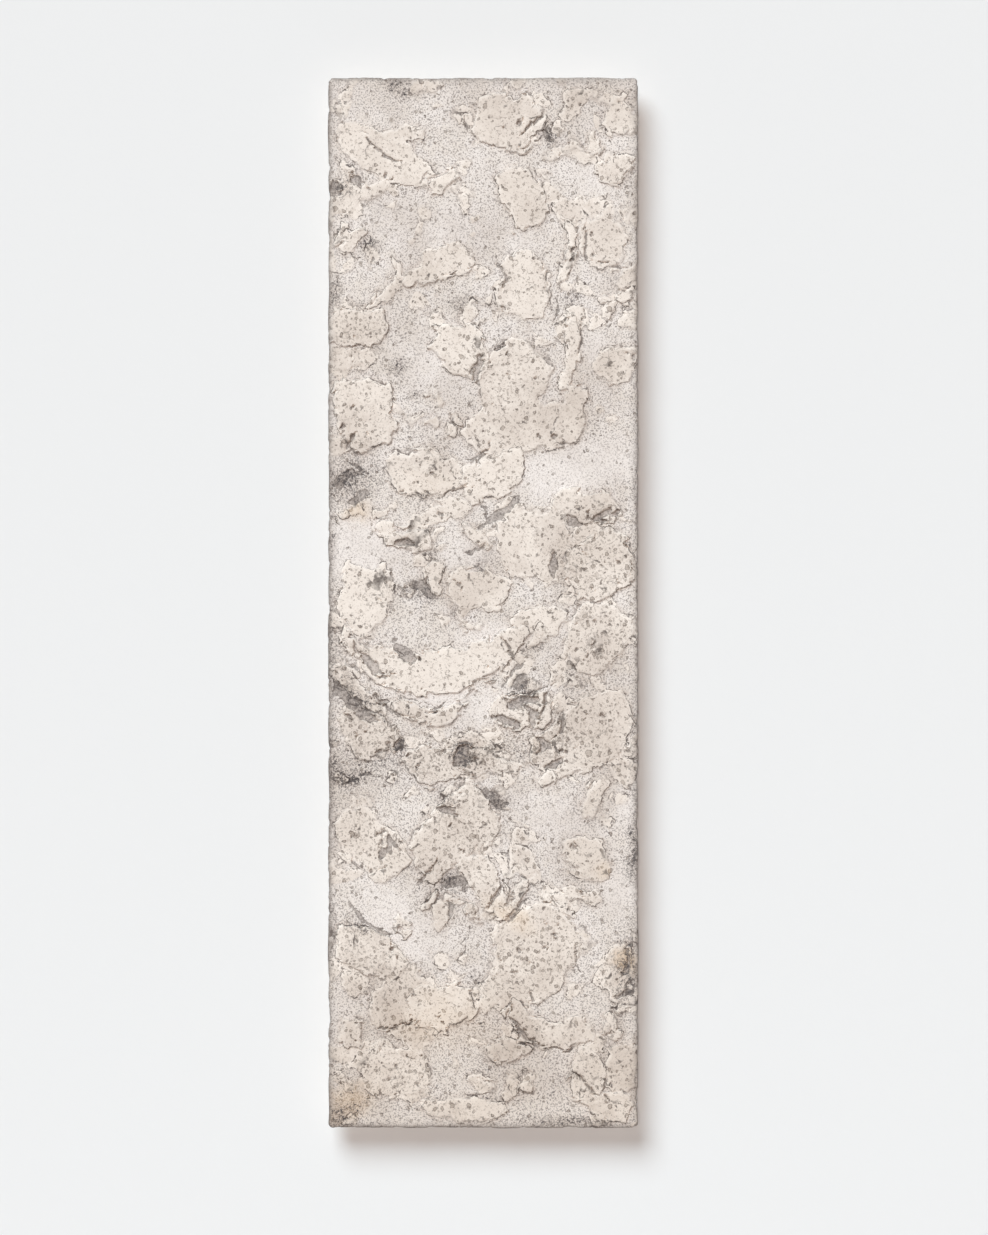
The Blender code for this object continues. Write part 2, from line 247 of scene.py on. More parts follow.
# Across is a share of the width from the middle, up a share of the height from the foot, length, width and
# bend are shares of the panel's width, and turn is in degrees from level.
FLAKES = [Shard(*row) for row in (
    (-0.322, 0.926, 0.36, 0.13, -25), (0.077, 0.959, 0.24, 0.18, 0),
    (0.437, 0.964, 0.13, 0.10, 90), (0.440, 0.914, 0.12, 0.09, 50),
    (-0.438, 0.888, 0.16, 0.09, 60, 0.08), (0.122, 0.883, 0.23, 0.13, -68),
    (0.131, 0.801, 0.23, 0.155, 88), (0.276, 0.836, 0.225, 0.037, 88, 0.03),
    (0.392, 0.840, 0.18, 0.13, -60), (-0.116, 0.824, 0.19, 0.10, 15),
    (-0.290, 0.803, 0.16, 0.05, 62, 0.04), (-0.406, 0.764, 0.20, 0.13, 8),
    (-0.440, 0.733, 0.13, 0.07, -5), (-0.071, 0.740, 0.225, 0.15, -38),
    (0.093, 0.714, 0.25, 0.21, 60), (0.279, 0.735, 0.24, 0.045, 86, 0.03),
    (0.437, 0.726, 0.14, 0.11, 30), (-0.380, 0.678, 0.26, 0.19, 100),
    (0.109, 0.664, 0.36, 0.17, 12), (0.285, 0.679, 0.20, 0.10, 72),
    (-0.187, 0.622, 0.30, 0.14, -5), (0.028, 0.620, 0.21, 0.13, 20),
    (-0.116, 0.588, 0.18, 0.06, 10), (0.334, 0.591, 0.22, 0.11, -10),
    (0.160, 0.555, 0.27, 0.22, 0), (0.385, 0.536, 0.24, 0.20, 30),
    (-0.386, 0.505, 0.22, 0.18, 80), (-0.158, 0.528, 0.12, 0.06, 85),
    (-0.023, 0.511, 0.20, 0.13, -10), (-0.155, 0.441, 0.54, 0.15, 4, 0.12),
    (-0.400, 0.417, 0.24, 0.06, -42), (-0.380, 0.379, 0.20, 0.14, -35),
    (0.366, 0.466, 0.24, 0.19, 60), (0.134, 0.398, 0.22, 0.12, 10),
    (0.320, 0.372, 0.36, 0.21, 30), (-0.107, 0.348, 0.30, 0.13, 5),
    (-0.370, 0.273, 0.26, 0.19, -55), (-0.100, 0.283, 0.36, 0.19, 48),
    (0.330, 0.258, 0.17, 0.12, -20), (0.009, 0.233, 0.20, 0.11, -62),
    (0.163, 0.168, 0.32, 0.28, 70), (-0.365, 0.167, 0.24, 0.15, -22),
    (-0.270, 0.120, 0.24, 0.18, 62), (0.210, 0.095, 0.28, 0.10, -12, 0.05),
    (0.437, 0.150, 0.20, 0.09, 80), (0.340, 0.050, 0.17, 0.11, 75),
    (-0.287, 0.055, 0.24, 0.19, 10), (0.077, 0.073, 0.14, 0.07, 0),
    (-0.052, 0.018, 0.27, 0.08, 0), (0.414, 0.020, 0.16, 0.09, 5),
    (-0.357, 0.894, 0.15, 0.05, 25, 0.03), (-0.203, 0.811, 0.12, 0.06, 20),
    (0.453, 0.811, 0.09, 0.05, 35), (-0.130, 0.116, 0.23, 0.14, 5),
    (0.440, 0.057, 0.17, 0.10, 82), (0.090, 0.216, 0.18, 0.035, 50, 0.02),
    (-0.250, 0.945, 0.13, 0.05, 8), (-0.130, 0.902, 0.09, 0.06, 40),
    (0.320, 0.925, 0.11, 0.05, -30, 0.03), (-0.240, 0.560, 0.16, 0.08, 5),
    (0.180, 0.481, 0.18, 0.09, 15), (-0.030, 0.565, 0.12, 0.05, -60),
    (0.350, 0.315, 0.15, 0.06, 70), (-0.420, 0.090, 0.11, 0.08, 80),
    (0.020, 0.130, 0.13, 0.06, 75), (-0.180, 0.395, 0.22, 0.06, -4, 0.05),
)]
CRUMB_FIELDS = [Field(*row) for row in (
    (0.30, 0.93, 0.20, 0.035, 5, 0.06, 11), (-0.42, 0.845, 0.12, 0.030, 4, 0.06, 12),
    (0.42, 0.780, 0.10, 0.025, 4, 0.05, 13), (-0.16, 0.680, 0.22, 0.040, 5, 0.04, 14),
    (-0.38, 0.575, 0.18, 0.030, 6, 0.05, 15), (0.06, 0.470, 0.24, 0.025, 5, 0.05, 16),
    (0.12, 0.345, 0.22, 0.040, 6, 0.06, 17), (0.34, 0.215, 0.26, 0.045, 6, 0.06, 18),
    (-0.15, 0.205, 0.26, 0.030, 6, 0.06, 19), (0.42, 0.100, 0.12, 0.040, 5, 0.06, 20),
    (0.05, 0.040, 0.20, 0.020, 4, 0.06, 21),
)]
GAPS = [Shard(*row) for row in (
    (0.122, 0.424, 0.085, 0.030, 50), (0.125, 0.405, 0.095, 0.032, 15),
    (0.150, 0.389, 0.060, 0.026, -65), (0.070, 0.389, 0.090, 0.032, -25),
    (0.202, 0.367, 0.065, 0.026, -30), (0.060, 0.585, 0.165, 0.030, 42, 0.02),
    (0.300, 0.580, 0.070, 0.034, -35), (0.395, 0.582, 0.085, 0.026, 35),
    (-0.014, 0.720, 0.095, 0.026, 62), (-0.252, 0.455, 0.090, 0.042, -35),
    (-0.425, 0.405, 0.190, 0.045, -42), (-0.280, 0.368, 0.045, 0.040, 0),
    (-0.065, 0.354, 0.075, 0.048, 20), (-0.425, 0.622, 0.120, 0.028, 15),
    (-0.405, 0.598, 0.085, 0.032, 18), (-0.255, 0.560, 0.075, 0.028, 10),
    (-0.200, 0.515, 0.070, 0.034, -30), (0.045, 0.313, 0.110, 0.042, -35),
    (-0.100, 0.232, 0.110, 0.042, 15),
)]

# Thin slits and crevices torn along the flakes, in the same measures
SLITS = [Shard(*row) for row in (
    (-0.365, 0.196, 0.16, 0.022, -32, 0.02), (0.131, 0.092, 0.16, 0.013, -42),
    (0.244, 0.077, 0.12, 0.010, 0), (0.327, 0.042, 0.11, 0.010, -45, 0.01),
    (-0.276, 0.097, 0.17, 0.010, 19, 0.01), (-0.043, 0.946, 0.12, 0.010, -66, 0.01),
    (0.149, 0.953, 0.11, 0.010, 47), (0.338, 0.839, 0.14, 0.009, 88),
    (0.403, 0.822, 0.11, 0.010, -12, 0.01), (0.293, 0.836, 0.18, 0.008, 88),
    (0.059, 0.812, 0.15, 0.010, -80, 0.01), (0.196, 0.814, 0.12, 0.009, 88),
    (-0.400, 0.333, 0.20, 0.010, -2), (0.140, 0.235, 0.05, 0.014, 10),
    (0.205, 0.947, 0.07, 0.030, -70, 0.03), (-0.400, 0.900, 0.06, 0.030, -50),
    (-0.470, 0.893, 0.07, 0.020, 80, 0.02), (-0.020, 0.724, 0.09, 0.016, 60, 0.01),
    (0.230, 0.535, 0.07, 0.024, 88), (-0.310, 0.265, 0.12, 0.016, 70, 0.03),
    (-0.105, 0.300, 0.10, 0.026, -15), (0.190, 0.360, 0.07, 0.024, 35),
    (0.230, 0.345, 0.09, 0.020, 20), (0.470, 0.160, 0.10, 0.024, 75, 0.03),
    (0.455, 0.128, 0.09, 0.020, 20), (0.110, 0.208, 0.13, 0.014, 48),
    (0.040, 0.222, 0.10, 0.014, 52), (-0.100, 0.205, 0.06, 0.022, 80),
    (-0.450, 0.612, 0.10, 0.020, 35, 0.02), (-0.400, 0.630, 0.08, 0.016, -20),
    (-0.440, 0.650, 0.07, 0.014, 50), (-0.195, 0.404, 0.16, 0.016, -12, 0.03),
    (-0.370, 0.445, 0.20, 0.018, -45, 0.02), (0.100, 0.150, 0.03, 0.016, 0),
    (0.295, 0.160, 0.10, 0.010, -70, 0.02), (0.095, 0.434, 0.17, 0.011, 52),
    (0.165, 0.416, 0.17, 0.011, 24, 0.01), (0.120, 0.399, 0.15, 0.012, -20, 0.01),
    (0.195, 0.404, 0.12, 0.011, 66), (0.245, 0.386, 0.10, 0.012, 78),
    (-0.296, 0.272, 0.10, 0.010, -43), (-0.030, 0.546, 0.08, 0.011, 30, 0.02),
    (-0.095, 0.602, 0.12, 0.010, 28, 0.01), (-0.020, 0.640, 0.09, 0.010, 30),
    (0.080, 0.452, 0.10, 0.010, -55), (0.005, 0.590, 0.10, 0.010, -65),
    (0.240, 0.790, 0.18, 0.009, 88, 0.01), (0.310, 0.760, 0.16, 0.009, 86, 0.01),
    (-0.330, 0.930, 0.16, 0.010, -28, 0.02), (-0.190, 0.240, 0.14, 0.012, 55, 0.02),
    (-0.060, 0.180, 0.10, 0.010, 75, 0.01), (0.060, 0.100, 0.16, 0.010, 60, 0.03),
    (-0.300, 0.400, 0.20, 0.012, -30, 0.01),
)]

# Where the smoke and ash of the firing darkened, bleached, warmed or pitted the surface
STAINS = [Patch(*row) for row in (
    (-0.276, 0.992, 0.15, 0.06, -30, 0.9), (0.213, 0.945, 0.09, 0.06, -60, 1.0),
    (-0.452, 0.893, 0.12, 0.08, 60, 0.9), (-0.366, 0.838, 0.06, 0.06, 0, 1.1),
    (-0.480, 0.795, 0.12, 0.07, 80, 0.9), (-0.348, 0.763, 0.06, 0.06, 0, 0.5),
    (-0.069, 0.786, 0.08, 0.07, 0, 0.7), (0.290, 0.788, 0.09, 0.07, 60, 0.8),
    (-0.276, 0.722, 0.06, 0.06, 0, 0.8), (-0.212, 0.698, 0.07, 0.04, 30, 0.6),
    (0.050, 0.752, 0.05, 0.03, 80, 0.8), (-0.430, 0.617, 0.22, 0.17, 20, 0.95),
    (-0.196, 0.600, 0.08, 0.05, 10, 0.7), (-0.248, 0.560, 0.09, 0.06, 10, 0.8),
    (-0.160, 0.547, 0.08, 0.05, 60, 0.7), (-0.005, 0.535, 0.07, 0.04, 60, 0.7),
    (-0.216, 0.511, 0.15, 0.08, -20, 0.8), (0.187, 0.459, 0.06, 0.05, 0, 0.6),
    (-0.400, 0.408, 0.30, 0.10, -40, 0.85), (0.130, 0.418, 0.12, 0.08, 40, 0.8),
    (-0.283, 0.366, 0.08, 0.07, 0, 1.1), (-0.420, 0.335, 0.22, 0.07, 0, 1.1),
    (-0.059, 0.357, 0.12, 0.09, 0, 1.1), (-0.300, 0.345, 0.50, 0.16, -8, 0.55),
    (0.150, 0.365, 0.34, 0.14, 10, 0.6), (-0.125, 0.315, 0.14, 0.06, -35, 0.8),
    (0.050, 0.313, 0.12, 0.06, -35, 0.9), (0.490, 0.268, 0.22, 0.06, 90, 1.2),
    (-0.110, 0.233, 0.16, 0.09, 20, 0.8), (0.107, 0.222, 0.20, 0.10, 30, 0.45),
    (-0.404, 0.193, 0.12, 0.05, -35, 0.9), (-0.340, 0.156, 0.12, 0.06, -20, 0.6),
    (-0.014, 0.141, 0.10, 0.05, -40, 0.7), (0.462, 0.150, 0.36, 0.12, 85, 0.85),
    (-0.290, 0.085, 0.10, 0.04, 20, 0.5), (0.155, 0.083, 0.10, 0.04, 30, 0.7),
    (0.300, 0.051, 0.07, 0.05, 60, 0.6), (0.040, 0.030, 0.10, 0.05, 0, 0.6),
    (0.020, 0.062, 0.16, 0.10, 0, 0.35), (0.280, 0.006, 0.35, 0.05, 0, 0.9),
    (-0.470, 0.012, 0.20, 0.09, 30, 0.9), (-0.495, 0.560, 0.34, 0.05, 90, 0.9),
    (-0.495, 0.450, 0.40, 0.06, 90, 0.9), (-0.495, 0.340, 0.34, 0.06, 90, 0.9),
    (-0.495, 0.200, 0.40, 0.04, 90, 0.7), (0.495, 0.330, 0.50, 0.04, 90, 0.7),
    (0.495, 0.600, 0.70, 0.04, 90, 0.5),
)]
PALE_FIELDS = [Patch(*row) for row in (
    (-0.430, 0.850, 0.12, 0.14, 0, 0.6), (-0.300, 0.860, 0.30, 0.18, 0, 0.5),
    (-0.100, 0.850, 0.36, 0.24, 0, 0.5), (0.120, 0.848, 0.20, 0.16, 0, 0.5),
    (0.360, 0.905, 0.18, 0.16, 0, 0.6), (-0.140, 0.730, 0.30, 0.40, 0, 0.5),
    (0.360, 0.735, 0.12, 0.24, 0, 0.5), (0.300, 0.628, 0.44, 0.16, 12, 1.0),
    (-0.080, 0.405, 0.44, 0.11, -6, 0.9), (-0.400, 0.555, 0.34, 0.26, 0, 0.9),
    (-0.050, 0.545, 0.22, 0.12, 0, 0.7), (0.060, 0.468, 0.30, 0.10, 0, 0.7),
    (-0.260, 0.196, 0.44, 0.18, -35, 0.7), (0.430, 0.025, 0.14, 0.08, 0, 0.8),
    (0.440, 0.222, 0.14, 0.22, 0, 0.7), (0.230, 0.290, 0.40, 0.22, -20, 0.55),
    (0.450, 0.300, 0.14, 0.24, 0, 0.5),
)]
WARM_FIELDS = [Patch(*row) for row in (
    (-0.430, 0.025, 0.18, 0.14, 20, 0.75), (0.380, 0.248, 0.10, 0.08, 0, 0.5),
    (0.450, 0.165, 0.09, 0.08, 0, 1.0), (0.090, 0.205, 0.22, 0.10, -30, 0.6),
    (-0.180, 0.610, 0.40, 0.16, 0, 0.3), (-0.400, 0.585, 0.12, 0.10, 0, 0.6),
    (0.100, 0.370, 0.40, 0.20, 0, 0.3), (-0.120, 0.100, 0.50, 0.30, 0, 0.4),
)]
PITTED_FIELDS = [Patch(*row) for row in (
    (-0.400, 0.760, 0.22, 0.18, 0, 0.8), (0.110, 0.710, 0.26, 0.26, 0, 0.3),
    (0.380, 0.535, 0.26, 0.28, 0, 0.9), (0.370, 0.460, 0.26, 0.30, 0, 0.5),
    (0.290, 0.370, 0.45, 0.26, 0, 0.7), (-0.100, 0.350, 0.40, 0.22, 0, 1.2),
    (-0.380, 0.380, 0.24, 0.20, 0, 0.8), (0.170, 0.165, 0.34, 0.34, 0, 0.7),
    (-0.080, 0.280, 0.34, 0.30, 0, 0.5), (-0.370, 0.280, 0.26, 0.26, 0, 0.5),
    (-0.340, 0.160, 0.26, 0.18, 0, 0.6), (-0.280, 0.055, 0.26, 0.20, 0, 0.7),
)]


def linear(red, green, blue):
    """The linear colour of a display colour given from 0 to 255, by the display's own curve."""
    shares = np.array([red, green, blue]) / 255
    low = shares / 12.92
    high = ((shares + 0.055) / 1.055) ** 2.4
    return tuple(float(value) for value in np.where(shares <= 0.04045, low, high))


def length(name, description, default, low=0.0, high=10.0):
    """A length that a user may change, in metres."""
    return FloatProperty(
        name=name, description=description, default=default, min=low, max=high,
        precision=5, unit="LENGTH", subtype="DISTANCE",
    )


def tint(name, description, default):
    """A colour that a user may change."""
    return FloatVectorProperty(
        name=name, description=description, default=default, min=0.0, max=2.0, size=3, subtype="COLOR",
    )


class CeramicPanelSizes(bpy.types.PropertyGroup):
    """Lengths and counts of the panel's surface."""

    width: length("Width", "Width of the panel before its edge was cut", round(float(HIGH[0] - LOW[0]), 3))
    height: length(
        "Height", "Height of the panel before its edge was cut", round(float(HIGH[2] - LOW[2]), 3)
    )
    body: length("Body", "Thickness of the sandy body under the flakes", 0.0175)
    corner: length("Corner radius", "Radius of the panel's corners", 0.006)
    arris: length("Front arris", "How far the front edge is worn round", 0.0026)
    cell: length("Cell", "Spacing of the surface before it is thinned", 0.00115, low=0.0005)
    side_cell: length("Side cell", "Spacing of the rings round the sides", 0.0022, low=0.0005)
    wall_slope: length("Flake wall", "Half the width of the slope at a flake's edge", 0.0012)
    faces: IntProperty(
        name="Faces", description="Triangles that the finished panel may have", default=188000, min=10000
    )


class CeramicPanelTints(bpy.types.PropertyGroup):
    """Colours of the clay and of the wall."""

    sand: tint("Sand", "The cool pale body between the flakes", linear(229, 219, 210))
    sand_dark: tint("Dark sand", "The dark grains in the body", linear(142, 132, 128))
    sand_white: tint("White sand", "The bleached body", linear(242, 234, 229))
    skin: tint("Skin", "The cream skin of the flakes", linear(238, 227, 217))
    skin_tan: tint("Tan skin", "The duller skin", linear(224, 212, 202))
    skin_light: tint("Light skin", "The palest skin, along the flakes' edges", linear(248, 238, 229))
    # The next tint is painted shade on the body beside the raised flakes.
    flake_shade: tint("Halo", "Dust on the body beside the flakes", linear(196, 182, 170))
    # The crevice tint darkens the cracks, the lines round the flakes and gaps, and the tears: painted shade
    # and dirt.
    crevice: tint("Crevice", "Dirt in the cracks round the flakes", linear(82, 72, 67))
    gap: tint("Gap", "The grey floor of the broken gaps", linear(180, 170, 164))
    pore: tint("Pore", "The tan floor of the larger pores", linear(152, 138, 126))
    pit: tint("Pit", "The dark of the smallest pores", linear(97, 84, 76))
    smoke: tint("Smoke", "Charcoal stains", linear(78, 73, 74))
    ochre: tint("Ochre", "Warm stains", linear(222, 190, 150))
    ash: tint("Ash", "The thin grey film of ash", linear(206, 198, 192))
    dust: tint("Dust", "The brown film near the foot", linear(212, 201, 189))
    rim: tint("Rim", "The worn dark rim", linear(118, 108, 102))
    back: tint("Back", "The plain clay of the back", linear(205, 194, 181))
    wall: tint("Wall", "The painted wall", linear(232, 232, 232))
    floor: tint("Floor", "The pale floor", linear(206, 206, 206))


class CeramicPanelView(bpy.types.PropertyGroup):
    """Where the panel hangs, and how it is lit and seen."""

    stand_off: length("Stand-off", "From the wall to the panel's back", 0.028)
    floor_drop: length("Floor drop", "From the panel's foot to the floor", 2.6)
    distance: length("Distance", "From the lens to the panel's front", 6.0, high=100.0)
    key_slope: FloatVectorProperty(
        name="Key slope", default=(-0.42, 0.84), size=2,
        description="How far the key light stands to the side and above, per metre in front",
    )
    key_spread: FloatProperty(
        name="Key spread", description="Angle that the soft key light fills", default=radians(34),
        min=0.0, max=pi, subtype="ANGLE",
    )
    key_power: FloatProperty(name="Key light", description="Strength of the key light", default=2.53)
    key_tint: tint("Key tint", "The cool cast of the key light", (0.898, 1.02, 1.082))
    fill_power: FloatProperty(
        name="Fill light", description="Strength of the light from in front", default=1.13
    )
    fill_tint: tint("Fill tint", "The warm cast of the light from in front", (1.15, 0.97, 0.875))
    behind_power: FloatProperty(
        name="Light behind", description="Strength of the faint light on the panel's back", default=0.2
    )
    sky: FloatProperty(name="Sky", description="Strength of the light from all round", default=0.100)


def squeeze(x, z, sizes):
    """Pulls the edge in by a slow wave and by small crumbled bites.

    The wave is EDGE_WAVE times one less the mean of three sines of the place along that side, the bites are
    clouds, and both fade inwards as the eighth power of the share of the way out.
    """
    half_width, half_height = sizes.width / 2, sizes.height / 2
    from_side = np.sign(x) * np.abs(x / half_width) ** EDGE_HOLD
    from_end = np.sign(z) * np.abs(z / half_height) ** EDGE_HOLD
    pull_x = EDGE_WAVE * (1 - sines(z + half_width * np.sign(x), SIDE_WAVES))
    pull_z = EDGE_WAVE * (1 - sines(x + half_height * np.sign(z), SIDE_WAVES))
    crumbled = CRUMBLE * np.clip(broken_clouds(x, z, *CRUMBLE_CLOUDS) - CRUMBLE_BARE, 0, None)
    return x - from_side * (pull_x + crumbled), z - from_end * (pull_z + crumbled)


def sines(place, lengths):
    """The mean of sines of the given wavelengths, from -1 to 1."""
    return sum(np.sin(2 * pi * place / one + number) for number, one in enumerate(lengths)) / len(lengths)


def wear(x, z, sizes):
    """How far the front arris is worn in from the edge at a place beside it."""
    return sizes.arris * (1 + ARRIS_WEAR * sines(x + z, WEAR_WAVES))


def clouds(x, z, size, seed):
    """Smooth noise from about -1 to 1.

    A random slope stands at each corner of a square lattice, and the four about a place are blended by a
    quintic of the place's share of the cell.
    """
    turns = np.random.default_rng(seed).uniform(0, 2 * pi, (LATTICE, LATTICE))
    u = x / size + LATTICE / 2
    v = z / size + LATTICE / 2
    column, row = np.floor(u).astype(int), np.floor(v).astype(int)
    u, v = u - column, v - row
    blend_u = u**3 * (u * (u * 6 - 15) + 10)
    blend_v = v**3 * (v * (v * 6 - 15) + 10)
    total = np.zeros_like(u)
    for right in (0, 1):
        for top in (0, 1):
            turn = turns[(column + right) % LATTICE, (row + top) % LATTICE]
            slope = np.cos(turn) * (u - right) + np.sin(turn) * (v - top)
            share = (blend_u if right else 1 - blend_u) * (blend_v if top else 1 - blend_v)
            total += slope * share
    return total * CLOUD_GAIN


def broken_clouds(x, z, size, seed, layers=3):
    """Clouds over finer clouds, each half as large and half as strong."""
    return sum(clouds(x, z, size / 2**layer, seed + layer) / 2**layer for layer in range(layers))


def heaped(x, z, layers):
    """The sum of clouds, each with its own height, size and seed."""
    return sum(height * clouds(x, z, size, seed) for height, size, seed in layers)


def strewn(x, z, spacing, seed):
    """Distances to the nearest two of points strewn one to a cell, and each one's chances from 0 to 1."""
    chance = np.random.default_rng(seed).random((5, LATTICE, LATTICE))
    u, v = x / spacing + LATTICE / 2, z / spacing + LATTICE / 2
    column, row = np.floor(u).astype(int), np.floor(v).astype(int)
    nearest = np.full(u.shape, np.inf)
    second = np.full(u.shape, np.inf)
    own = np.zeros((3, *u.shape))
    other = np.zeros((3, *u.shape))
    for aside in (-1, 0, 1):
        for above in (-1, 0, 1):
            cell = chance[:, (column + aside) % LATTICE, (row + above) % LATTICE]
            reach = np.hypot(column + aside + cell[0] - u, row + above + cell[1] - v) * spacing
            closer, between = reach < nearest, reach < second
            other = np.where(closer, own, np.where(between, cell[2:], other))
            second = np.where(closer, nearest, np.where(between, reach, second))
            own = np.where(closer, cell[2:], own)
            nearest = np.where(closer, reach, nearest)
    return nearest, second, own, other


def smooth(value, low, high):
    """A smooth step from 0 at low to 1 at high."""
    share = np.clip((value - low) / (high - low), 0, 1)
    return share * share * (3 - 2 * share)


def shard_outline(shard, corners, seed, growth, sizes):
    """A broken, angular outline.

    Corners stand round a squarish oval at uneven angles and distances; the oval is bent along its length,
    turned, and cut off short of the panel's edge.
    """
    chance = np.random.default_rng(seed)
    shifts = chance.uniform(-CORNER_SHIFT, CORNER_SHIFT, corners)
    angles = 2 * pi * (np.arange(corners) + shifts) / corners
    reach = 1 + chance.uniform(-FLAKE_RAGGED, FLAKE_RAGGED, corners)
    cosine, sine = np.cos(angles), np.sin(angles)
    along = np.sign(cosine) * np.abs(cosine) ** FLAKE_SQUARE * reach
    aside = np.sign(sine) * np.abs(sine) ** FLAKE_SQUARE * reach
    bent = shard.bend * sizes.width * (along**2 - 1 / 3)
    along = along * (shard.length * sizes.width / 2 + growth)
    aside = aside * (shard.width * sizes.width / 2 + growth) + bent
    turn = radians(shard.turn)
    x = shard.across * sizes.width + along * cos(turn) - aside * sin(turn)
    z = (shard.up - 0.5) * sizes.height + along * sin(turn) + aside * cos(turn)
    limit_x = sizes.width / 2 - RIM_CLEAR
    limit_z = sizes.height / 2 - RIM_CLEAR
    return np.column_stack([np.clip(x, -limit_x, limit_x), np.clip(z, -limit_z, limit_z)])


def depth_inside(x, z, outline):
    """Distance from a closed outline, positive inside it.

    It is the least distance to the outline's sides, signed by how often a level line from the place meets
    them.
    """
    nearest = np.full(x.shape, np.inf)
    inside = np.zeros(x.shape, bool)
    for (x0, z0), (x1, z1) in zip(outline, np.roll(outline, -1, axis=0)):
        run_x, run_z = x1 - x0, z1 - z0
        span = max(run_x**2 + run_z**2, 1e-12)
        share = np.clip(((x - x0) * run_x + (z - z0) * run_z) / span, 0, 1)
        nearest = np.minimum(nearest, np.hypot(x - x0 - share * run_x, z - z0 - share * run_z))
        if z0 != z1:
            crosses = ((z0 > z) != (z1 > z)) & (x < x0 + (z - z0) * run_x / run_z)
            inside ^= crosses
    return np.where(inside, nearest, -nearest)


def crumbs():
    """Small flakes scattered in their fields, their places, sizes and turns from each field's own chance."""
    for field in CRUMB_FIELDS:
        chance = np.random.default_rng(field.seed)
        for _ in range(field.count):
            across = field.across + field.wide * chance.uniform(-0.5, 0.5)
            up = field.up + field.tall * chance.uniform(-0.5, 0.5)
            long = field.size * chance.uniform(0.7, 1.5)
            yield Shard(across, up, long, long * chance.uniform(0.4, 0.8), chance.uniform(0, 180), 0.0)


def spread(patches, x, z, sizes):
    """The strength of a set of soft ovals: each falls off as a bell, and the strongest one counts."""
    total = np.zeros(x.shape)
    for patch in patches:
        turn = radians(patch.turn)
        from_x = x - patch.across * sizes.width
        from_z = z - (patch.up - 0.5) * sizes.height
        along = (from_x * cos(turn) + from_z * sin(turn)) / (patch.length * sizes.width / 2)
        aside = (from_z * cos(turn) - from_x * sin(turn)) / (patch.width * sizes.width / 2)
        total = np.maximum(total, patch.amount * np.exp(-(along**2 + aside**2)))
    return total


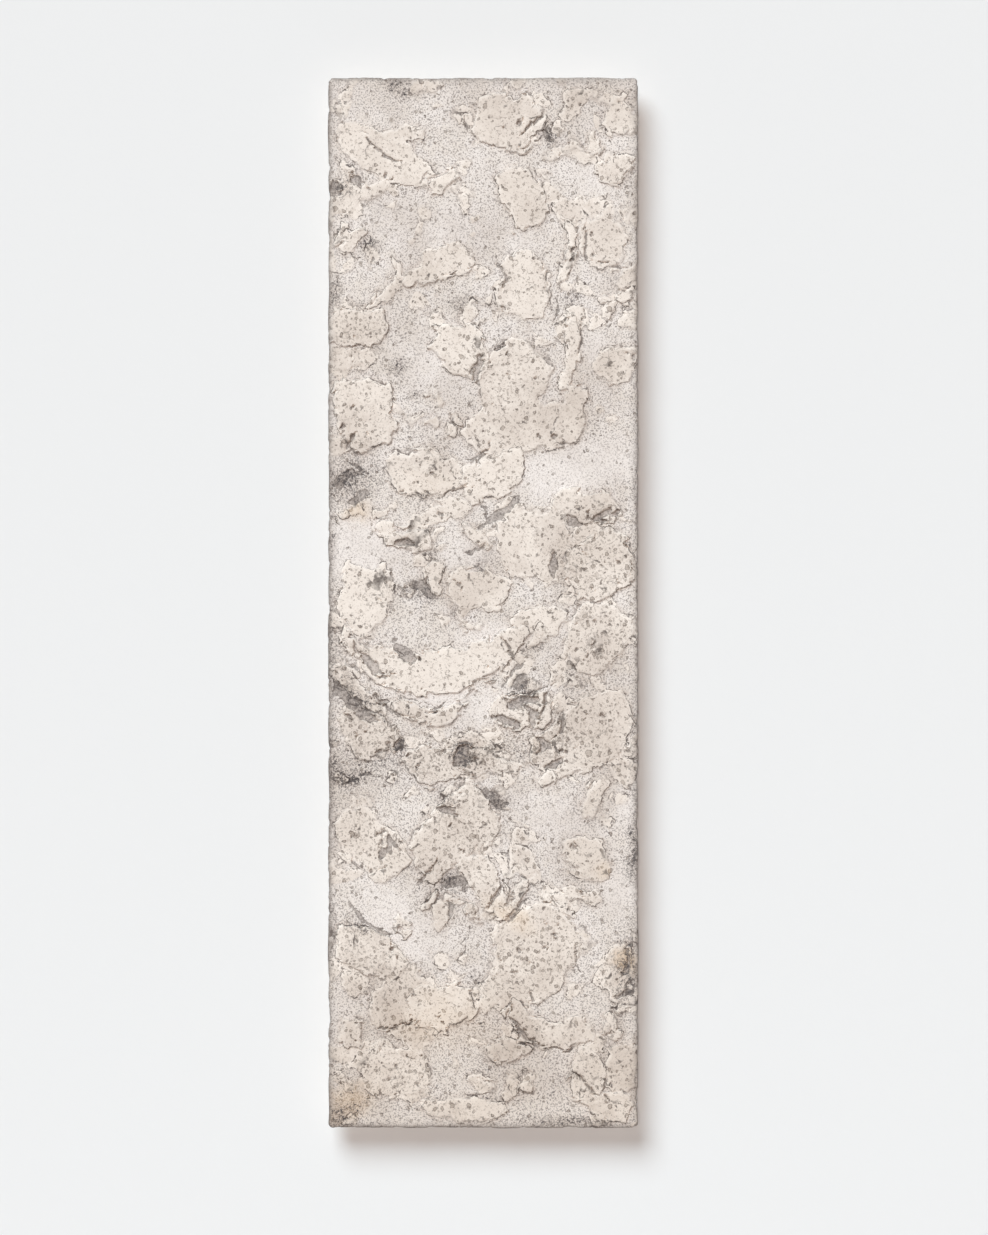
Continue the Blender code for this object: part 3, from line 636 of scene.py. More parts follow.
class Surface:
    """Everything that the front is worked out from, at an array of places across and up it."""

    def __init__(self, x, z, sizes):
        self.x, self.z, self.sizes = x, z, sizes
        self.bent_x, self.bent_z = x, z
        for reach, size, seed_x, seed_z in WARPS:
            self.bent_x = self.bent_x + reach * clouds(x, z, size, seed_x)
            self.bent_z = self.bent_z + reach * clouds(x, z, size, seed_z)
        for spacing, reach in BREAKS:
            shift = strewn(self.bent_x, self.bent_z, spacing, BREAK_SEED)[2]
            self.bent_x = self.bent_x + reach * (shift[0] - 0.5)
            self.bent_z = self.bent_z + reach * (shift[1] - 0.5)
        self.pitted = spread(PITTED_FIELDS, x, z, sizes)
        self.pale = spread(PALE_FIELDS, self.bent_x, self.bent_z, sizes)
        self.lay_flakes()
        self.scatter_scraps()
        self.tear_plates()
        self.open_crevices()
        self.break_gaps()

    def lay_flakes(self):
        """The flakes in two layers: the distance inside each layer's flakes, their rise and their tones.

        Where flakes overlap, the highest one counts. A flake leans a little, and falls off at its edge by a
        smooth step.
        """
        self.under = np.full(self.x.shape, -FAR)
        self.over = np.full(self.x.shape, -FAR)
        self.rise = np.zeros(self.x.shape)
        self.tone = np.zeros(self.x.shape)
        for number, shard in enumerate(FLAKES + list(crumbs())):
            corners = min(round(LEAST_CORNERS + CORNERS_BY_LENGTH * shard.length), MOST_CORNERS)
            outline = shard_outline(shard, corners, number, 0.0, self.sizes)
            near, depth = self.depth_near(outline)
            layer = self.over if number % 2 else self.under
            layer[near] = np.maximum(layer[near], depth)
            chance = np.random.default_rng(number + RISE_SEED)
            rise = chance.uniform(*(OVER_RISE if number % 2 else UNDER_RISE))
            lean_x, lean_z = chance.uniform(-FLAKE_TILT, FLAKE_TILT, 2)
            centre = outline.mean(axis=0)
            lean = lean_x * (self.x[near] - centre[0]) + lean_z * (self.z[near] - centre[1])
            slope = self.sizes.wall_slope
            plate = (rise + lean) * smooth(depth, -slope, slope)
            self.tone[near] = np.where(plate > self.rise[near], chance.uniform(-1, 1), self.tone[near])
            self.rise[near] = np.maximum(self.rise[near], plate)

    def depth_near(self, outline):
        """Which places lie about an outline, and their distances inside it."""
        low, high = outline.min(axis=0) - FAR, outline.max(axis=0) + FAR
        near = (self.bent_x > low[0]) & (self.bent_x < high[0])
        near &= (self.bent_z > low[1]) & (self.bent_z < high[1])
        return near, np.clip(depth_inside(self.bent_x[near], self.bent_z[near], outline), -FAR, FAR)

    def scatter_scraps(self):
        """Small angular scraps of skin between the flakes.

        They are the cells about strewn points, kept by their own chance where that is under the density, and
        their depth is half the difference between the distances to the nearest two points.
        """
        slope = self.sizes.wall_slope
        share = SCRAP_SHARES
        clouded = clouds(self.x, self.z, *SCRAP_CLOUDS)
        density = share["all"] + share["pitted"] * self.pitted + share["clouded"] * clouded
        density = density - share["pale"] * self.pale
        for spacing, seed in SCRAPS:
            nearest, second, own, other = strewn(self.bent_x, self.bent_z * SCRAP_SQUASH, spacing, seed)
            border = (second - nearest) / 2
            outside = np.where(other[0] < density, -border, -FAR)
            depth = np.where(own[0] < density, np.minimum(border - SCRAP_GAP, FAR), outside - SCRAP_GAP)
            rise = SCRAP_RISE * (SCRAP_LEAST + SCRAP_SPREAD * own[1])
            plate = rise * smooth(depth, -slope / 2, slope)
            self.tone = np.where(plate > self.rise, 2 * own[2] - 1, self.tone)
            self.rise = np.maximum(self.rise, plate)
            self.under = np.maximum(self.under, depth)

    def tear_plates(self):
        """Hairline tears across the flakes, and the plates between them.

        They are cells about strewn points. A border is torn where its two chances differ by enough, and a
        plate's level is its own chance, levelled off to the neighbour's half way along the border.
        """
        self.tear = np.full(self.x.shape, FAR)
        self.level = np.zeros(self.x.shape)
        for spacing, seed in TEARS:
            nearest, second, own, other = strewn(self.bent_x, self.bent_z, spacing, seed)
            border = (second - nearest) / 2
            torn = np.abs(own[0] - other[0]) > TEAR_SHARE
            self.tear = np.minimum(self.tear, np.where(torn, border, FAR))
            blend = 0.5 * (1 - smooth(border, 0, PLATE_STEP))
            self.level += (own[1] + (other[1] - own[1]) * blend) / len(TEARS)

    def open_crevices(self):
        """How wide the crevice beside a flake's edge has opened: clouds, so that it comes and goes."""
        opening = broken_clouds(self.x, self.z, *CREVICE_CLOUDS, layers=2)
        self.crevice = np.clip(CREVICE_WIDTH * opening - CREVICE_CLOSED, *CREVICE_LIMITS)

    def break_gaps(self):
        """The gaps: the broken places of the solid, and small bites strewn over the pitted fields."""
        self.gap = np.full(self.x.shape, -FAR)
        broken = [(shard, GAP_CORNERS, GAP_GROWTH) for shard in GAPS]
        broken += [(shard, SLIT_CORNERS, 0.0) for shard in SLITS]
        for number, (shard, corners, growth) in enumerate(broken):
            near, depth = self.depth_near(shard_outline(shard, corners, number, growth, self.sizes))
            self.gap[near] = np.maximum(self.gap[near], depth)
        reach, _, chances, _ = strewn(self.bent_x, self.bent_z * BITE_SQUASH, *BITES)
        size = BITE_LEAST + BITE_GROWTH * chances[1] ** 2
        here = chances[0] < BITE_SHARES["all"] + BITE_SHARES["pitted"] * self.pitted
        here &= np.maximum(self.under, self.over) > BITE_INSIDE
        self.gap = np.maximum(self.gap, np.where(here, size - reach, -FAR))

    def height(self):
        """How far the front stands out of the body's own plane."""
        x, z, slope = self.x, self.z, self.sizes.wall_slope
        swell, sand = heaped(x, z, SWELLS), heaped(x, z, SANDS)
        on_skin = smooth(np.maximum(self.under, self.over), 0, SKIN_BORDER)
        lifted = self.rise + swell + sand * (1 - SAND_ON_SKIN * on_skin)
        lifted = lifted + PLATE_RISE * (self.level - 0.5) * on_skin
        over_crevice = np.minimum(-self.over, self.over + self.crevice)
        under_crevice = np.minimum(np.minimum(-self.under, self.under + self.crevice), -self.over)
        open_here = smooth(np.maximum(over_crevice, under_crevice), *CREVICE_LIPS)
        lifted = lifted - CREVICE_DEPTH * open_here
        floor = -GAP_DEPTH * GAP_SHOWN + GAP_ROUGH * broken_clouds(x, z, *GAP_CLOUDS)
        sink = smooth(self.gap, -slope, slope)
        return lifted + (np.minimum(floor, lifted) - lifted) * sink


def lattice(sizes):
    """The front before it is cut: a grid of places from -half to half of the width and of the height."""
    columns = round(sizes.width / sizes.cell)
    rows = round(sizes.height / sizes.cell)
    across = np.linspace(-sizes.width / 2, sizes.width / 2, columns + 1)
    up = np.linspace(-sizes.height / 2, sizes.height / 2, rows + 1)
    return np.meshgrid(across, up)


def round_corners(x, z, sizes):
    """Draws each corner's square in to a quarter disc, by a place's greater share over its reach."""
    radius = sizes.corner
    past_x = np.clip((np.abs(x) - (sizes.width / 2 - radius)) / radius, 0, None)
    past_z = np.clip((np.abs(z) - (sizes.height / 2 - radius)) / radius, 0, None)
    both = (past_x > 0) & (past_z > 0)
    reach = np.hypot(past_x, past_z)
    pull = np.where(both, np.maximum(past_x, past_z) / np.where(both, reach, 1), 1)
    round_x = np.sign(x) * (sizes.width / 2 - radius + past_x * pull * radius)
    round_z = np.sign(z) * (sizes.height / 2 - radius + past_z * pull * radius)
    return np.where(both, round_x, x), np.where(both, round_z, z)


def front_surface(sizes):
    """Places of the front's grid: the relief over the body, rounded off along the worn arris.

    The arris is a quarter of an oval, and small chips are taken off where clouds are high. The relief comes
    in by a smooth step inwards from the rim.
    """
    flat_x, flat_z = lattice(sizes)
    x, z = round_corners(flat_x, flat_z, sizes)
    x, z = squeeze(x, z, sizes)
    inside = np.minimum(sizes.width / 2 - np.abs(flat_x), sizes.height / 2 - np.abs(flat_z))
    worn = wear(x, z, sizes)
    share = np.clip(1 - inside / worn, 0, 1)
    drop = worn * (1 - np.sqrt(1 - share**2) * ARRIS_FULL)
    chipped = CHIP_DEPTH * smooth(broken_clouds(x, z, *CHIP_CLOUDS), *CHIP_SHARES)
    chipped = chipped * smooth(inside, *CHIP_REACH)
    relief = Surface(x, z, sizes).height() * smooth(inside, RELIEF_FROM, RIM_CLEAR + RELIEF_BLEND)
    depth = sizes.body + relief - drop - chipped
    return np.stack([x, -depth, z], axis=-1)


def edge_loop(rows, columns):
    """The grid's outer points in order, anticlockwise as seen from the front."""
    number = np.arange(rows * columns).reshape(rows, columns)
    return np.concatenate([number[0, :-1], number[:-1, -1], number[-1, :0:-1], number[:0:-1, 0]])


def side_rings(edge, sizes):
    """Rings round the sides from the front's edge to the back's.

    Each ring is the edge moved back a step, drawn in by small clouds for the rough clay; the last one lies
    in the back's plane, drawn in by the back arris.
    """
    ahead = np.roll(edge, -1, axis=0) - np.roll(edge, 1, axis=0)
    outward = np.column_stack([ahead[:, 2], -ahead[:, 0]])
    outward /= np.linalg.norm(outward, axis=1)[:, None]
    along = np.cumsum(np.linalg.norm(np.diff(edge, axis=0, append=edge[:1]), axis=1))
    steps = max(LEAST_RINGS, round(sizes.body / sizes.side_cell))
    rings = []
    for step in range(1, steps + 2):
        share = min(step / steps, 1.0)
        depth = edge[:, 1] * (1 - share) - BACK_ARRIS * share
        rough = SIDE_ROUGH * (broken_clouds(along, depth * SIDE_STRETCH, *SIDE_CLOUDS) + SIDE_RAISED)
        inset = np.clip(rough, 0, None) * sin(pi * min(share, SIDE_FULL)) ** 0.5
        if step > steps:
            depth = np.zeros(len(edge))
            inset = np.full(len(edge), BACK_ARRIS)
        rings.append(np.column_stack([edge[:, 0] - outward[:, 0] * inset, depth,
                                      edge[:, 2] - outward[:, 1] * inset]))
    return rings


def panel_mesh(sizes):
    """The whole panel as one closed mesh: the front's grid, the rings of the sides and one flat back."""
    front = front_surface(sizes)
    rows, columns = front.shape[:2]
    number = np.arange(rows * columns).reshape(rows, columns)
    cells = [number[:-1, :-1], number[:-1, 1:], number[1:, 1:], number[1:, :-1]]
    quads = [np.stack(cells, -1).reshape(-1, 4)]
    loop = edge_loop(rows, columns)
    places = [front.reshape(-1, 3)]
    before, count = loop, rows * columns
    for ring in side_rings(front.reshape(-1, 3)[loop], sizes):
        behind = np.arange(count, count + len(ring))
        count += len(ring)
        quads.append(np.stack([np.roll(before, -1), before, behind, np.roll(behind, -1)], -1))
        places.append(ring)
        before = behind
    mesh = bpy.data.meshes.new("panel")
    faces = np.concatenate(quads).tolist() + [before[::-1].tolist()]
    mesh.from_pydata(np.concatenate(places), [], faces)
    return mesh


def thin(piece, triangles):
    """Takes away the triangles that shape the surface least, until the given number is left."""
    piece.data.calc_loop_triangles()
    thinning = piece.modifiers.new("thin", "DECIMATE")
    thinning.ratio = min(1.0, triangles / len(piece.data.loop_triangles))
    full = piece.data
    graph = bpy.context.evaluated_depsgraph_get()
    piece.data = bpy.data.meshes.new_from_object(piece.evaluated_get(graph))
    piece.modifiers.clear()
    bpy.data.meshes.remove(full)


def places_of(mesh):
    """The mesh's vertices as an array of places."""
    flat = np.empty(len(mesh.vertices) * 3, np.float32)
    mesh.vertices.foreach_get("co", flat)
    return flat.reshape(-1, 3).astype(float)


def note_fields(mesh, sizes):
    """Writes the fields that the clay reads: distances in millimetres, and strengths from 0 to 1."""
    places = places_of(mesh)
    x, z = places[:, 0], places[:, 2]
    surface = Surface(x, z, sizes)
    fields = {
        "flakes": np.column_stack([surface.under, surface.over, surface.gap]) / MM,
        "firing": np.column_stack([
            spread(STAINS, surface.bent_x, surface.bent_z, sizes),
            surface.pale,
            spread(WARM_FIELDS, surface.bent_x, surface.bent_z, sizes),
        ]),
        "skin": np.column_stack([surface.tone, surface.pitted, surface.crevice / MM]),
        "plates": np.column_stack([surface.tear / MM, surface.level, np.zeros_like(x)]),
    }
    for name, values in fields.items():
        attribute = mesh.attributes.new(name, "FLOAT_VECTOR", "POINT")
        attribute.data.foreach_set("vector", values.astype(np.float32).ravel())


class Wire:
    """A number on its way through a material's nodes; arithmetic on it adds Math nodes."""

    def __init__(self, finish, socket):
        self.finish, self.socket = finish, socket

    def math(self, operation, *others, clamp=False):
        settings = {"operation": operation, "use_clamp": clamp}
        values = dict(enumerate((self,) + others))
        return self.finish.add("ShaderNodeMath", settings, values)

    def __add__(self, other):
        return self.math("ADD", other)

    def __mul__(self, other):
        return self.math("MULTIPLY", other)

    def __sub__(self, other):
        return self.math("SUBTRACT", other)

    def __rsub__(self, other):
        return self.finish.number(other).math("SUBTRACT", self)

    __radd__ = __add__
    __rmul__ = __mul__

    def least(self, other):
        return self.math("MINIMUM", other)

    def most(self, other):
        return self.math("MAXIMUM", other)

    def size(self):
        return self.math("ABSOLUTE")

    def mask(self, name):
        """A smooth step between the ends that MASKS has for a name."""
        return self.step(*MASKS[name])

    def step(self, low, high):
        """A smooth step from 0 at low to 1 at high; low may be the greater of the two."""
        turned = low > high
        settings = {"interpolation_type": "SMOOTHSTEP"}
        ends = {"From Min": min(low, high), "From Max": max(low, high), "To Min": 0.0, "To Max": 1.0}
        if turned:
            ends.update({"To Min": 1.0, "To Max": 0.0})
        return self.finish.add("ShaderNodeMapRange", settings, {"Value": self, **ends})


class Finish:
    """A material under construction."""

    def __init__(self, name):
        self.material = bpy.data.materials.new(name)
        self.material.use_nodes = True
        self.tree = self.material.node_tree
        self.shader = self.tree.nodes["Principled BSDF"]

    def add(self, kind, settings=None, values=None, output=0):
        """Adds a node, sets it up, fills or links its sockets, and gives one of its outputs."""
        node = self.tree.nodes.new(kind)
        for name, setting in (settings or {}).items():
            setattr(node, name, setting)
        for name, value in (values or {}).items():
            self.fill(self.socket_of(node, name), value)
        return Wire(self, node.outputs[output])

    def socket_of(self, node, name):
        """An input by its number, its identifier or its name."""
        if isinstance(name, int):
            return node.inputs[name]
        return next((one for one in node.inputs if one.identifier == name), None) or node.inputs[name]

    def fill(self, socket, value):
        """Links a wire to a socket, or sets its value; a colour of three numbers gets a full alpha."""
        if isinstance(value, Wire):
            self.tree.links.new(value.socket, socket)
        elif socket.type == "RGBA" and len(value) == 3:
            socket.default_value = (*value, 1.0)
        else:
            socket.default_value = value

    def dress(self, values):
        """Links or sets the shader's own sockets, given by their names."""
        for name, value in values.items():
            self.fill(self.shader.inputs[name], value)

    def number(self, value):
        """A plain number as a wire."""
        wire = self.add("ShaderNodeValue")
        wire.socket.default_value = value
        return wire

    def millimetres(self):
        """The place on the object, in millimetres."""
        place = self.add("ShaderNodeTexCoord", output="Object")
        return self.add("ShaderNodeVectorMath", {"operation": "SCALE"}, {0: place, "Scale": 1 / MM})

    def parts(self, vector):
        """The three numbers of a vector."""
        split = self.tree.nodes.new("ShaderNodeSeparateXYZ")
        self.tree.links.new(vector.socket, split.inputs[0])
        return [Wire(self, one) for one in split.outputs]

    def field(self, name):
        """The three numbers of one of the mesh's own fields."""
        return self.parts(self.add("ShaderNodeAttribute", {"attribute_name": name}, output="Vector"))

    def moved(self, place, shift):
        """A place moved by the same shift along each axis, which sets one pattern apart from another."""
        return self.add("ShaderNodeVectorMath", {"operation": "ADD"}, {0: place, 1: (shift, shift, shift)})

    def noise(self, place, size, detail=2.0, roughness=0.5, shift=0.0):
        """Noise from 0 to 1, its lumps about as large as size, in millimetres."""
        moved = self.moved(place, shift)
        values = {"Vector": moved, "Scale": 1 / size, "Detail": detail, "Roughness": roughness}
        return self.add("ShaderNodeTexNoise", {}, values)

    def dots(self, place, spacing, shift=0.0):
        """Distance in millimetres to the nearest of strewn points, and that point's own three chances."""
        node = self.tree.nodes.new("ShaderNodeTexVoronoi")
        self.fill(node.inputs["Vector"], self.moved(place, shift))
        self.fill(node.inputs["Scale"], 1 / spacing)
        chances = self.parts(Wire(self, node.outputs["Color"]))
        return Wire(self, node.outputs["Distance"]) * spacing, chances

    def warped(self, place, size, reach):
        """A place pushed about by noise, up to half the reach in millimetres each way."""
        values = {"Vector": place, "Scale": 1 / size, "Detail": 1.0}
        push = self.add("ShaderNodeTexNoise", {}, values, output="Color")
        centred = self.add("ShaderNodeVectorMath", {"operation": "SUBTRACT"}, {0: push, 1: (0.5, 0.5, 0.5)})
        scaled = self.add("ShaderNodeVectorMath", {"operation": "SCALE"}, {0: centred, "Scale": reach})
        return self.add("ShaderNodeVectorMath", {"operation": "ADD"}, {0: place, 1: scaled})

    def blend(self, share, first, second):
        """A colour between two, by a share from 0 to 1."""
        values = {"Factor_Float": share, "A_Color": first, "B_Color": second}
        return self.add("ShaderNodeMix", {"data_type": "RGBA"}, values, output=2)

    def glaze(self, share, under, over):
        """A colour seen through another one, which keeps its contrast, by a share from 0 to 1."""
        values = {"Factor_Float": share, "A_Color": under, "B_Color": over}
        return self.add("ShaderNodeMix", {"data_type": "RGBA", "blend_type": "MULTIPLY"}, values, output=2)

    def cover(self, name, value):
        """How much of a coat shows: its value, stepped between any ends it has, times its strength."""
        strength, *ends = COATS[name]
        share = value.step(*ends) if ends else value
        return share if strength == 1.0 else share * strength

    def coat(self, name, value, under, over):
        """A colour laid over another one, as COATS has it for the coat's name."""
        return self.blend(self.cover(name, value), under, over)

    def film(self, name, value, under, over):
        """A coat so thin that the colour under it keeps its contrast."""
        return self.glaze(self.cover(name, value), under, over)

    def bump(self, strength, height):
        """A normal from a height in millimetres."""
        values = {"Strength": strength, "Distance": MM, "Height": height}
        return self.add("ShaderNodeBump", {}, values)


def body_colour(clay, grains, tints, edge, smoke, pale):
    """The sandy body: dark grains, a painted shade beside the flakes, and bleached where the ash lay."""
    patches = grains.mottle * 0.35 + grains.cloud * 0.65
    sand = clay.coat("white sand", patches, tints.sand, tints.sand_white)
    sand = clay.coat("white grit", grains.grit, sand, tints.sand_white)
    # Painted shade on the body just outside the flakes' edges, mottled.
    flake_shade = edge.mask("flake_shade") * (grains.mottle * 1.6 - 0.35)
    sand = clay.film("flake_shade", flake_shade, sand, tints.flake_shade)
    whitened = (pale * (grains.mottle * 0.8 + 0.6)).mask("bleached")
    sand = clay.coat("bleach", whitened, sand, tints.sand_white)
    peppered = (grains.grain + smoke * 0.05).mask("peppered") * (PEPPER - whitened * 0.34)
    return clay.blend(peppered, sand, tints.sand_dark)


def skin_colour(clay, grains, tints, edge, tone, level, pitted):
    """The cream skin: duller in patches, palest in a clean band along its edge, speckled and pored."""
    patches = grains.cloud * 0.8 + grains.mottle * 0.6 + tone * 0.14 + (level - 0.5) * 0.35
    cream = clay.coat("tan skin", patches, tints.skin, tints.skin_tan)
    cream = clay.coat("light border", edge, cream, tints.skin_light)
    cream = clay.coat("speckles", grains.grain, cream, tints.pore)
    inner = edge.mask("inner skin") * (pitted * 0.8 + grains.mottle * 1.4 - 0.25).mask("pored")
    cream = clay.coat("holes", grains.holes + inner * 0.05, cream, tints.pore)
    cream = clay.coat("pits", grains.pits + inner * 0.08, cream, tints.pit)
    curl = (grains.curls - 0.5).size().mask("curl")
    short = (grains.curl_ends + inner * 0.03).mask("curl ends")
    return clay.coat("curls", curl * short, cream, tints.pit)


def pocked(clay, grains, tints, surface, place, bare, spacing, reach, shift, strength):
    """Small pocks about strewn points: a tan floor inside a thin dark ring.

    A point has a pock where its chance is over bare, and the pock grows to the given reach, in millimetres.
    """
    distance, chances = clay.dots(place, spacing, shift)
    inside = ((chances[0] - bare) * 8.0).least(reach) - distance + (grains.lumps - 0.5) * 2.0
    ring = inside.size().mask("pock ring") * (grains.mottle * 1.4 + 0.25)
    surface = clay.coat("pock floor", inside.mask("pock floor") * strength, surface, tints.pore)
    return clay.coat("pock ring", ring * strength, surface, tints.pit)


def cracked(clay, grains, tints, surface, edges, crevice, gap, tear, smoke, melted):
    """Dirt and painted shade in the crevices and gaps, and thin broken dark lines round the flakes and along
    the tears, painted shade and dirt in the cracks.
    """
    under_edge, over_edge = edges
    broken = grains.breaks.mask("broken line") * 0.80 + 0.18
    open_over = (0.0 - over_edge).least(over_edge + crevice)
    open_under = (0.0 - under_edge).least(under_edge + crevice).least(0.0 - over_edge)
    opened = open_over.most(open_under).mask("crevice")
    spread_soot = smoke * 0.6
    line_over = ((over_edge + 0.35).size() - spread_soot).mask("line")
    line_under = ((under_edge + 0.35).size() - spread_soot).mask("line") * over_edge.mask("not under")
    on_skin = under_edge.most(over_edge).mask("on skin")
    torn = (tear + grains.lumps * 1.4 - 0.9 - spread_soot).mask("tear") * on_skin
    surface = clay.coat("tears", torn * (1.2 - broken), surface, tints.crevice)
    line = line_over.most(line_under) * (broken * (1.0 - melted * 0.8)).most(smoke)
    gap_edge = gap + grains.lumps * 4.0 + grains.grain * 1.2 - 3.2
    in_gap = gap_edge.mask("gap")
    gap_line = gap_edge.size().mask("gap line")
    speckled = grains.lumps * 0.6 + grains.grit * 0.4 + smoke * 0.05
    dirt_and_shade_tone = clay.coat("dirt_and_shade_tone", speckled, tints.gap, tints.crevice)
    # The opened crevices are darkened with painted shade and dirt; the gaps get their grey fill.
    dirt_and_shade = (in_gap * (grains.mottle + 0.3)).most(opened * CREVICE_DIRT_AND_SHADE)
    surface = clay.blend(dirt_and_shade, surface, dirt_and_shade_tone)
    # Dark lines round the flakes and the gaps: painted shade and dirt in the cracks.
    return clay.coat("lines", line.most(gap_line * GAP_LINES), surface, tints.crevice)


def smoked(clay, grains, tints, surface, smoke):
    """Charcoal: thin wandering veins and specks where the smoke is thick, in a grey bloom."""
    veins = (smoke * 0.040 - (grains.veins - 0.5).size()).mask("vein")
    surface = clay.film("bloom", smoke * (grains.mottle + 0.4), surface, tints.ash)
    surface = clay.coat("veins", veins * (grains.lumps + 0.2).mask("vein grains"), surface, tints.smoke)
    soot = grains.lumps + grains.grain * 1.1 + grains.mottle * 0.7 + smoke * 0.35 - 1.78
    return clay.coat("soot", soot, surface, tints.smoke)


def rimmed(clay, grains, tints, surface, x, z, sizes):
    """The worn edge: a dusky bloom that fades inwards, denser close in, and dark specks on the arris; laid
    thicker on the left, and thinner on the right as painted light where that arris falls in shade.
    """
    from_side = sizes.width / 2 / MM - x.size()
    from_end = sizes.height / 2 / MM - z.size()
    inside = from_side.least(from_end)
    wide = grains.mottle * 10.0 + grains.cloud * 10.0 - inside
    close = (grains.lumps * 4.0 + grains.mottle * 5.0 - inside).mask("close rim")
    specks = grains.lumps * 5.0 + grains.mottle * 3.0 + grains.grain * 4.0 - inside * 1.3
    lit_side = x.mask("lit_side")
    surface = clay.coat("wide rim", wide, surface, tints.rim)
    # Less rim dark on the right, where the arris turns from the light: painted light against its shade.
    surface = clay.blend(close * (lit_side * 0.44 + 0.26), surface, tints.rim)
    return clay.blend(specks.mask("rim specks") * (lit_side * 0.35 + 0.22), surface, tints.smoke)


class Grains:
    """The noises of the clay, one for each name in NOISES, which its colours and outlines share."""

    def __init__(self, clay, place):
        for name, measures in NOISES.items():
            setattr(self, name, clay.noise(place, *measures))


def make_clay(sizes, tints):
    """The fired clay: sand, cream skin, pores, cracks, gaps, smoke and a worn rim, and a plain back."""
    clay = Finish("fired_clay")
    place = clay.millimetres()
    x, y, z = clay.parts(place)
    grains = Grains(clay, place)
    under, over, gap = clay.field("flakes")
    smoke, pale, warm = clay.field("firing")
    tone, pitted, crevice = clay.field("skin")
    tear, level = clay.field("plates")[:2]

    bites = clay.dots(clay.warped(place, *BITE_WARP), *BITE_DOTS)[1]
    under_edge = under + grains.lumps * 2.0 + grains.grain * 0.8 + bites[0] * 2.4 - 2.6
    over_edge = over + grains.fray * 2.0 + grains.grit * 0.8 + bites[1] * 2.4 - 2.6
    edge = under_edge.most(over_edge)
    melted = grains.melt.mask("melted")
    crisp = edge.mask("crisp skin")
    worn_off = (edge + grains.grain * 5.0 + grains.mottle * 5.0 - 5.6).mask("worn skin")
    skin = crisp + (worn_off - crisp) * melted

    sand = body_colour(clay, grains, tints, edge, smoke, pale)
    cream = skin_colour(clay, grains, tints, edge, tone, level, pitted)
    surface = clay.blend(skin, sand, cream)
    bent = clay.warped(place, *POCK_WARP)
    bare = 0.74 - (pitted * 0.34 + grains.mottle * 0.60 - 0.16) * edge.mask("pocked")
    for rarer, *pock in POCKS:
        surface = pocked(clay, grains, tints, surface, bent, bare + rarer, *pock)
    surface = pocked(clay, grains, tints, surface, bent, *SCABS)
    surface = clay.coat("warmth", warm * (grains.cloud * 0.8 + 0.6), surface, tints.ochre)
    edges = under_edge, over_edge
    surface = cracked(clay, grains, tints, surface, edges, crevice, gap, tear, smoke, melted)
    surface = smoked(clay, grains, tints, surface, smoke)
    ground = z.mask("ground") * (grains.cloud * 0.8 + 0.2)
    surface = clay.film("ground", ground, surface, tints.dust)
    soot = grains.lumps + grains.grain * 0.9 + grains.mottle * 0.8 + ground * 0.16 - 1.64
    surface = clay.coat("ground specks", soot, surface, tints.smoke)
    surface = clay.film("drift", grains.drift, surface, tints.ash)
    surface = rimmed(clay, grains, tints, surface, x, z, sizes)

    behind = y.mask("back")
    patches = grains.cloud * 0.6 + grains.lumps * 0.5
    back = clay.coat("back patches", patches, tints.back, tints.skin_tan)
    back = clay.coat("back grain", grains.grain, back, tints.pore)
    surface = clay.blend(behind, surface, back)

    rough_skin = grains.mottle * 0.12 + SKIN_ROUGHNESS
    roughness = skin * (rough_skin - SAND_ROUGHNESS) + SAND_ROUGHNESS
    tooth = grains.grain * 0.35 + grains.lumps * 0.30
    clay.dress({
        "Base Color": surface, "Roughness": roughness, "Normal": clay.bump(CLAY_BUMP, tooth),
        "Specular IOR Level": CLAY_SPECULAR,
    })
    return clay.material


def make_panel(sizes, tints):
    """The panel: its mesh thinned, its fields noted, its clay put on, standing for the solid."""
    panel = bpy.data.objects.new("panel", panel_mesh(sizes))
    bpy.context.scene.collection.objects.link(panel)
    thin(panel, sizes.faces)
    panel.data.shade_smooth()
    panel.data.set_sharp_from_angle(angle=SHARP_ANGLE)
    note_fields(panel.data, sizes)
    panel.data.materials.append(make_clay(sizes, tints))
    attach(panel, "root")
    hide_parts("ceramic_panel")


def plane(name, corners, material):
    """A flat sheet between four corners."""
    mesh = bpy.data.meshes.new(name)
    mesh.from_pydata(corners, [], [(0, 1, 2, 3)])
    mesh.materials.append(material)
    sheet = bpy.data.objects.new(name, mesh)
    bpy.context.scene.collection.objects.link(sheet)
    return sheet


def make_paint(tints):
    """Matt wall paint that is seen only from in front, so that the panel's back can be looked at."""
    paint = Finish("wall_paint")
    bump = paint.bump(PAINT_BUMP, paint.noise(paint.millimetres(), *PAINT_GRAIN))
    paint.dress({"Base Color": tints.wall, "Roughness": WALL_ROUGHNESS, "Normal": bump})
    clear = paint.add("ShaderNodeBsdfTransparent")
    behind = paint.add("ShaderNodeNewGeometry", output="Backfacing")
    solid = Wire(paint, paint.shader.outputs["BSDF"])
    mixed = paint.add("ShaderNodeMixShader", {}, {0: behind, 1: solid, 2: clear})
    output = paint.tree.nodes["Material Output"]
    paint.fill(output.inputs["Surface"], mixed)
    return paint.material


def sun(name, slope, spread, power, cast, view):
    """A light from far off, from the given share to the side and above per metre in front."""
    light = bpy.data.lights.new(name, "SUN")
    light.angle = spread
    light.energy = power
    light.color = cast
    lamp = bpy.data.objects.new(name, light)
    aside, above = slope
    lamp.location = (aside * view.distance, -view.distance, above * view.distance)
    lamp.rotation_euler = (pi / 2 - atan(above / hypot(1, aside)), 0.0, atan(aside))
    bpy.context.scene.collection.objects.link(lamp)
    return lamp


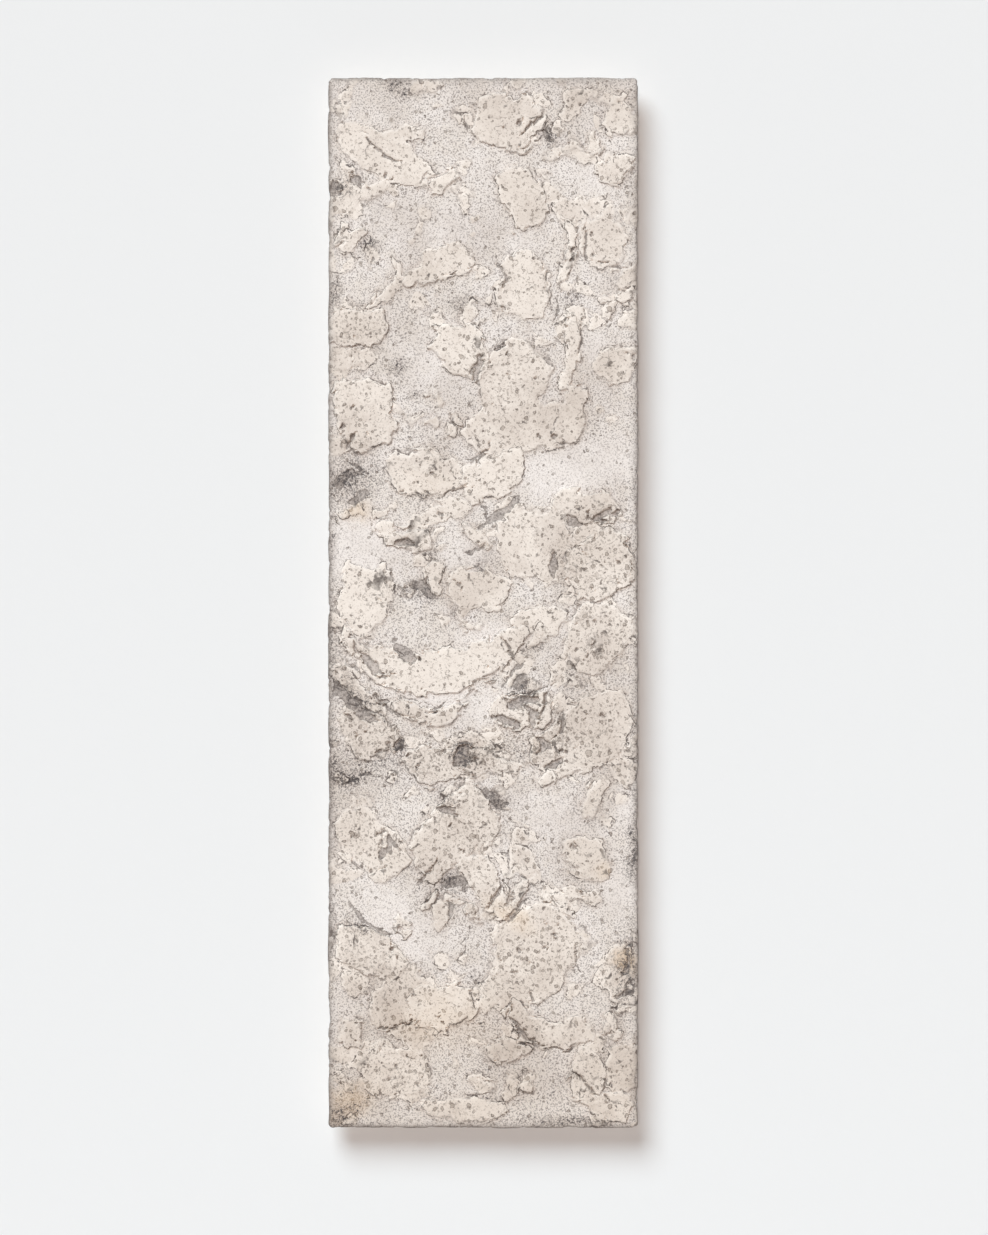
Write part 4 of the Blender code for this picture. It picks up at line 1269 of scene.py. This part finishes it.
def make_stage(sizes, tints, view):
    """The wall, the floor, the lights and the lens.

    The wall hangs behind the panel and the pale floor lies under it. The soft key light comes from the upper
    left, the fill from in front, and a faint one from behind, for views of the back. The lens takes in the
    photo's frame, with the panel's sides where the photo has them.
    """
    foot = -sizes.height / 2 - view.floor_drop
    wall = plane("wall", [
        (-WALL_REACH, view.stand_off, foot), (WALL_REACH, view.stand_off, foot),
        (WALL_REACH, view.stand_off, WALL_REACH), (-WALL_REACH, view.stand_off, WALL_REACH),
    ], make_paint(tints))
    wall.visible_shadow = False
    floor_paint = Finish("floor_paint")
    floor_paint.dress({"Base Color": tints.floor, "Roughness": FLOOR_ROUGHNESS})
    plane("floor", [
        (-FLOOR_REACH, -FLOOR_REACH, foot), (FLOOR_REACH, -FLOOR_REACH, foot),
        (FLOOR_REACH, FLOOR_REACH, foot), (-FLOOR_REACH, FLOOR_REACH, foot),
    ], floor_paint.material)

    sun("key", view.key_slope, view.key_spread, view.key_power, view.key_tint, view)
    sun("fill", FILL_SLOPE, FILL_SPREAD, view.fill_power, view.fill_tint, view)
    behind = sun("behind", (0.0, 0.0), BEHIND_SPREAD, view.behind_power, WHITE, view)
    behind.location.y = view.distance
    behind.rotation_euler.x = -pi / 2

    world = bpy.data.worlds.new("sky")
    world.use_nodes = True
    background = world.node_tree.nodes["Background"]
    background.inputs["Color"].default_value = (*WHITE, 1.0)
    background.inputs["Strength"].default_value = view.sky
    bpy.context.scene.world = world

    left, top, right, bottom = PANEL_PIXELS
    scale = sizes.height / (bottom - top)
    lens = bpy.data.cameras.new("lens")
    lens.sensor_fit = "VERTICAL"
    lens.lens = lens.sensor_height / (PHOTO[1] * scale / view.distance)
    eye = bpy.data.objects.new("lens", lens)
    offset_x = PHOTO[0] / 2 - (left + right) / 2
    offset_z = (top + bottom) / 2 - PHOTO[1] / 2
    eye.location = (offset_x * scale, -sizes.body - view.distance, offset_z * scale)
    eye.rotation_euler = (pi / 2, 0.0, 0.0)
    bpy.context.scene.collection.objects.link(eye)
    bpy.context.scene.camera = eye
    bpy.context.scene.view_settings.view_transform = "Standard"


class CERAMIC_PANEL_OT_make_panel(bpy.types.Operator):
    """Models the panel and its clay"""

    bl_idname = "ceramic_panel.make_panel"
    bl_label = "Make panel"

    def execute(self, context):
        make_panel(context.scene.ceramic_sizes, context.scene.ceramic_tints)
        return {"FINISHED"}


class CERAMIC_PANEL_OT_make_stage(bpy.types.Operator):
    """Sets up the wall, the floor, the light and the lens"""

    bl_idname = "ceramic_panel.make_stage"
    bl_label = "Make stage"

    def execute(self, context):
        scene = context.scene
        make_stage(scene.ceramic_sizes, scene.ceramic_tints, scene.ceramic_view)
        return {"FINISHED"}


class CERAMIC_PANEL_PT_sidebar(bpy.types.Panel):
    """Lists the panel's operators and sizes"""

    bl_label = "Ceramic panel"
    bl_space_type = "VIEW_3D"
    bl_region_type = "UI"
    bl_category = "Ceramic panel"

    def draw(self, context):
        for group in (context.scene.ceramic_sizes, context.scene.ceramic_tints, context.scene.ceramic_view):
            for name in group.__annotations__:
                self.layout.prop(group, name)
        for operator in OPERATORS:
            self.layout.operator(operator.bl_idname)


OPERATORS = [CERAMIC_PANEL_OT_make_panel, CERAMIC_PANEL_OT_make_stage]
GROUPS = {
    "ceramic_sizes": CeramicPanelSizes,
    "ceramic_tints": CeramicPanelTints,
    "ceramic_view": CeramicPanelView,
}


def register():
    for one in [*GROUPS.values(), *OPERATORS, CERAMIC_PANEL_PT_sidebar]:
        bpy.utils.register_class(one)
    for name, group in GROUPS.items():
        setattr(bpy.types.Scene, name, PointerProperty(type=group))


def unregister():
    for name in GROUPS:
        delattr(bpy.types.Scene, name)
    for one in [CERAMIC_PANEL_PT_sidebar, *reversed(OPERATORS), *reversed(GROUPS.values())]:
        bpy.utils.unregister_class(one)


def main():
    register()
    bpy.ops.ceramic_panel.make_panel()
    bpy.ops.ceramic_panel.make_stage()


if __name__ == "__main__":
    main()
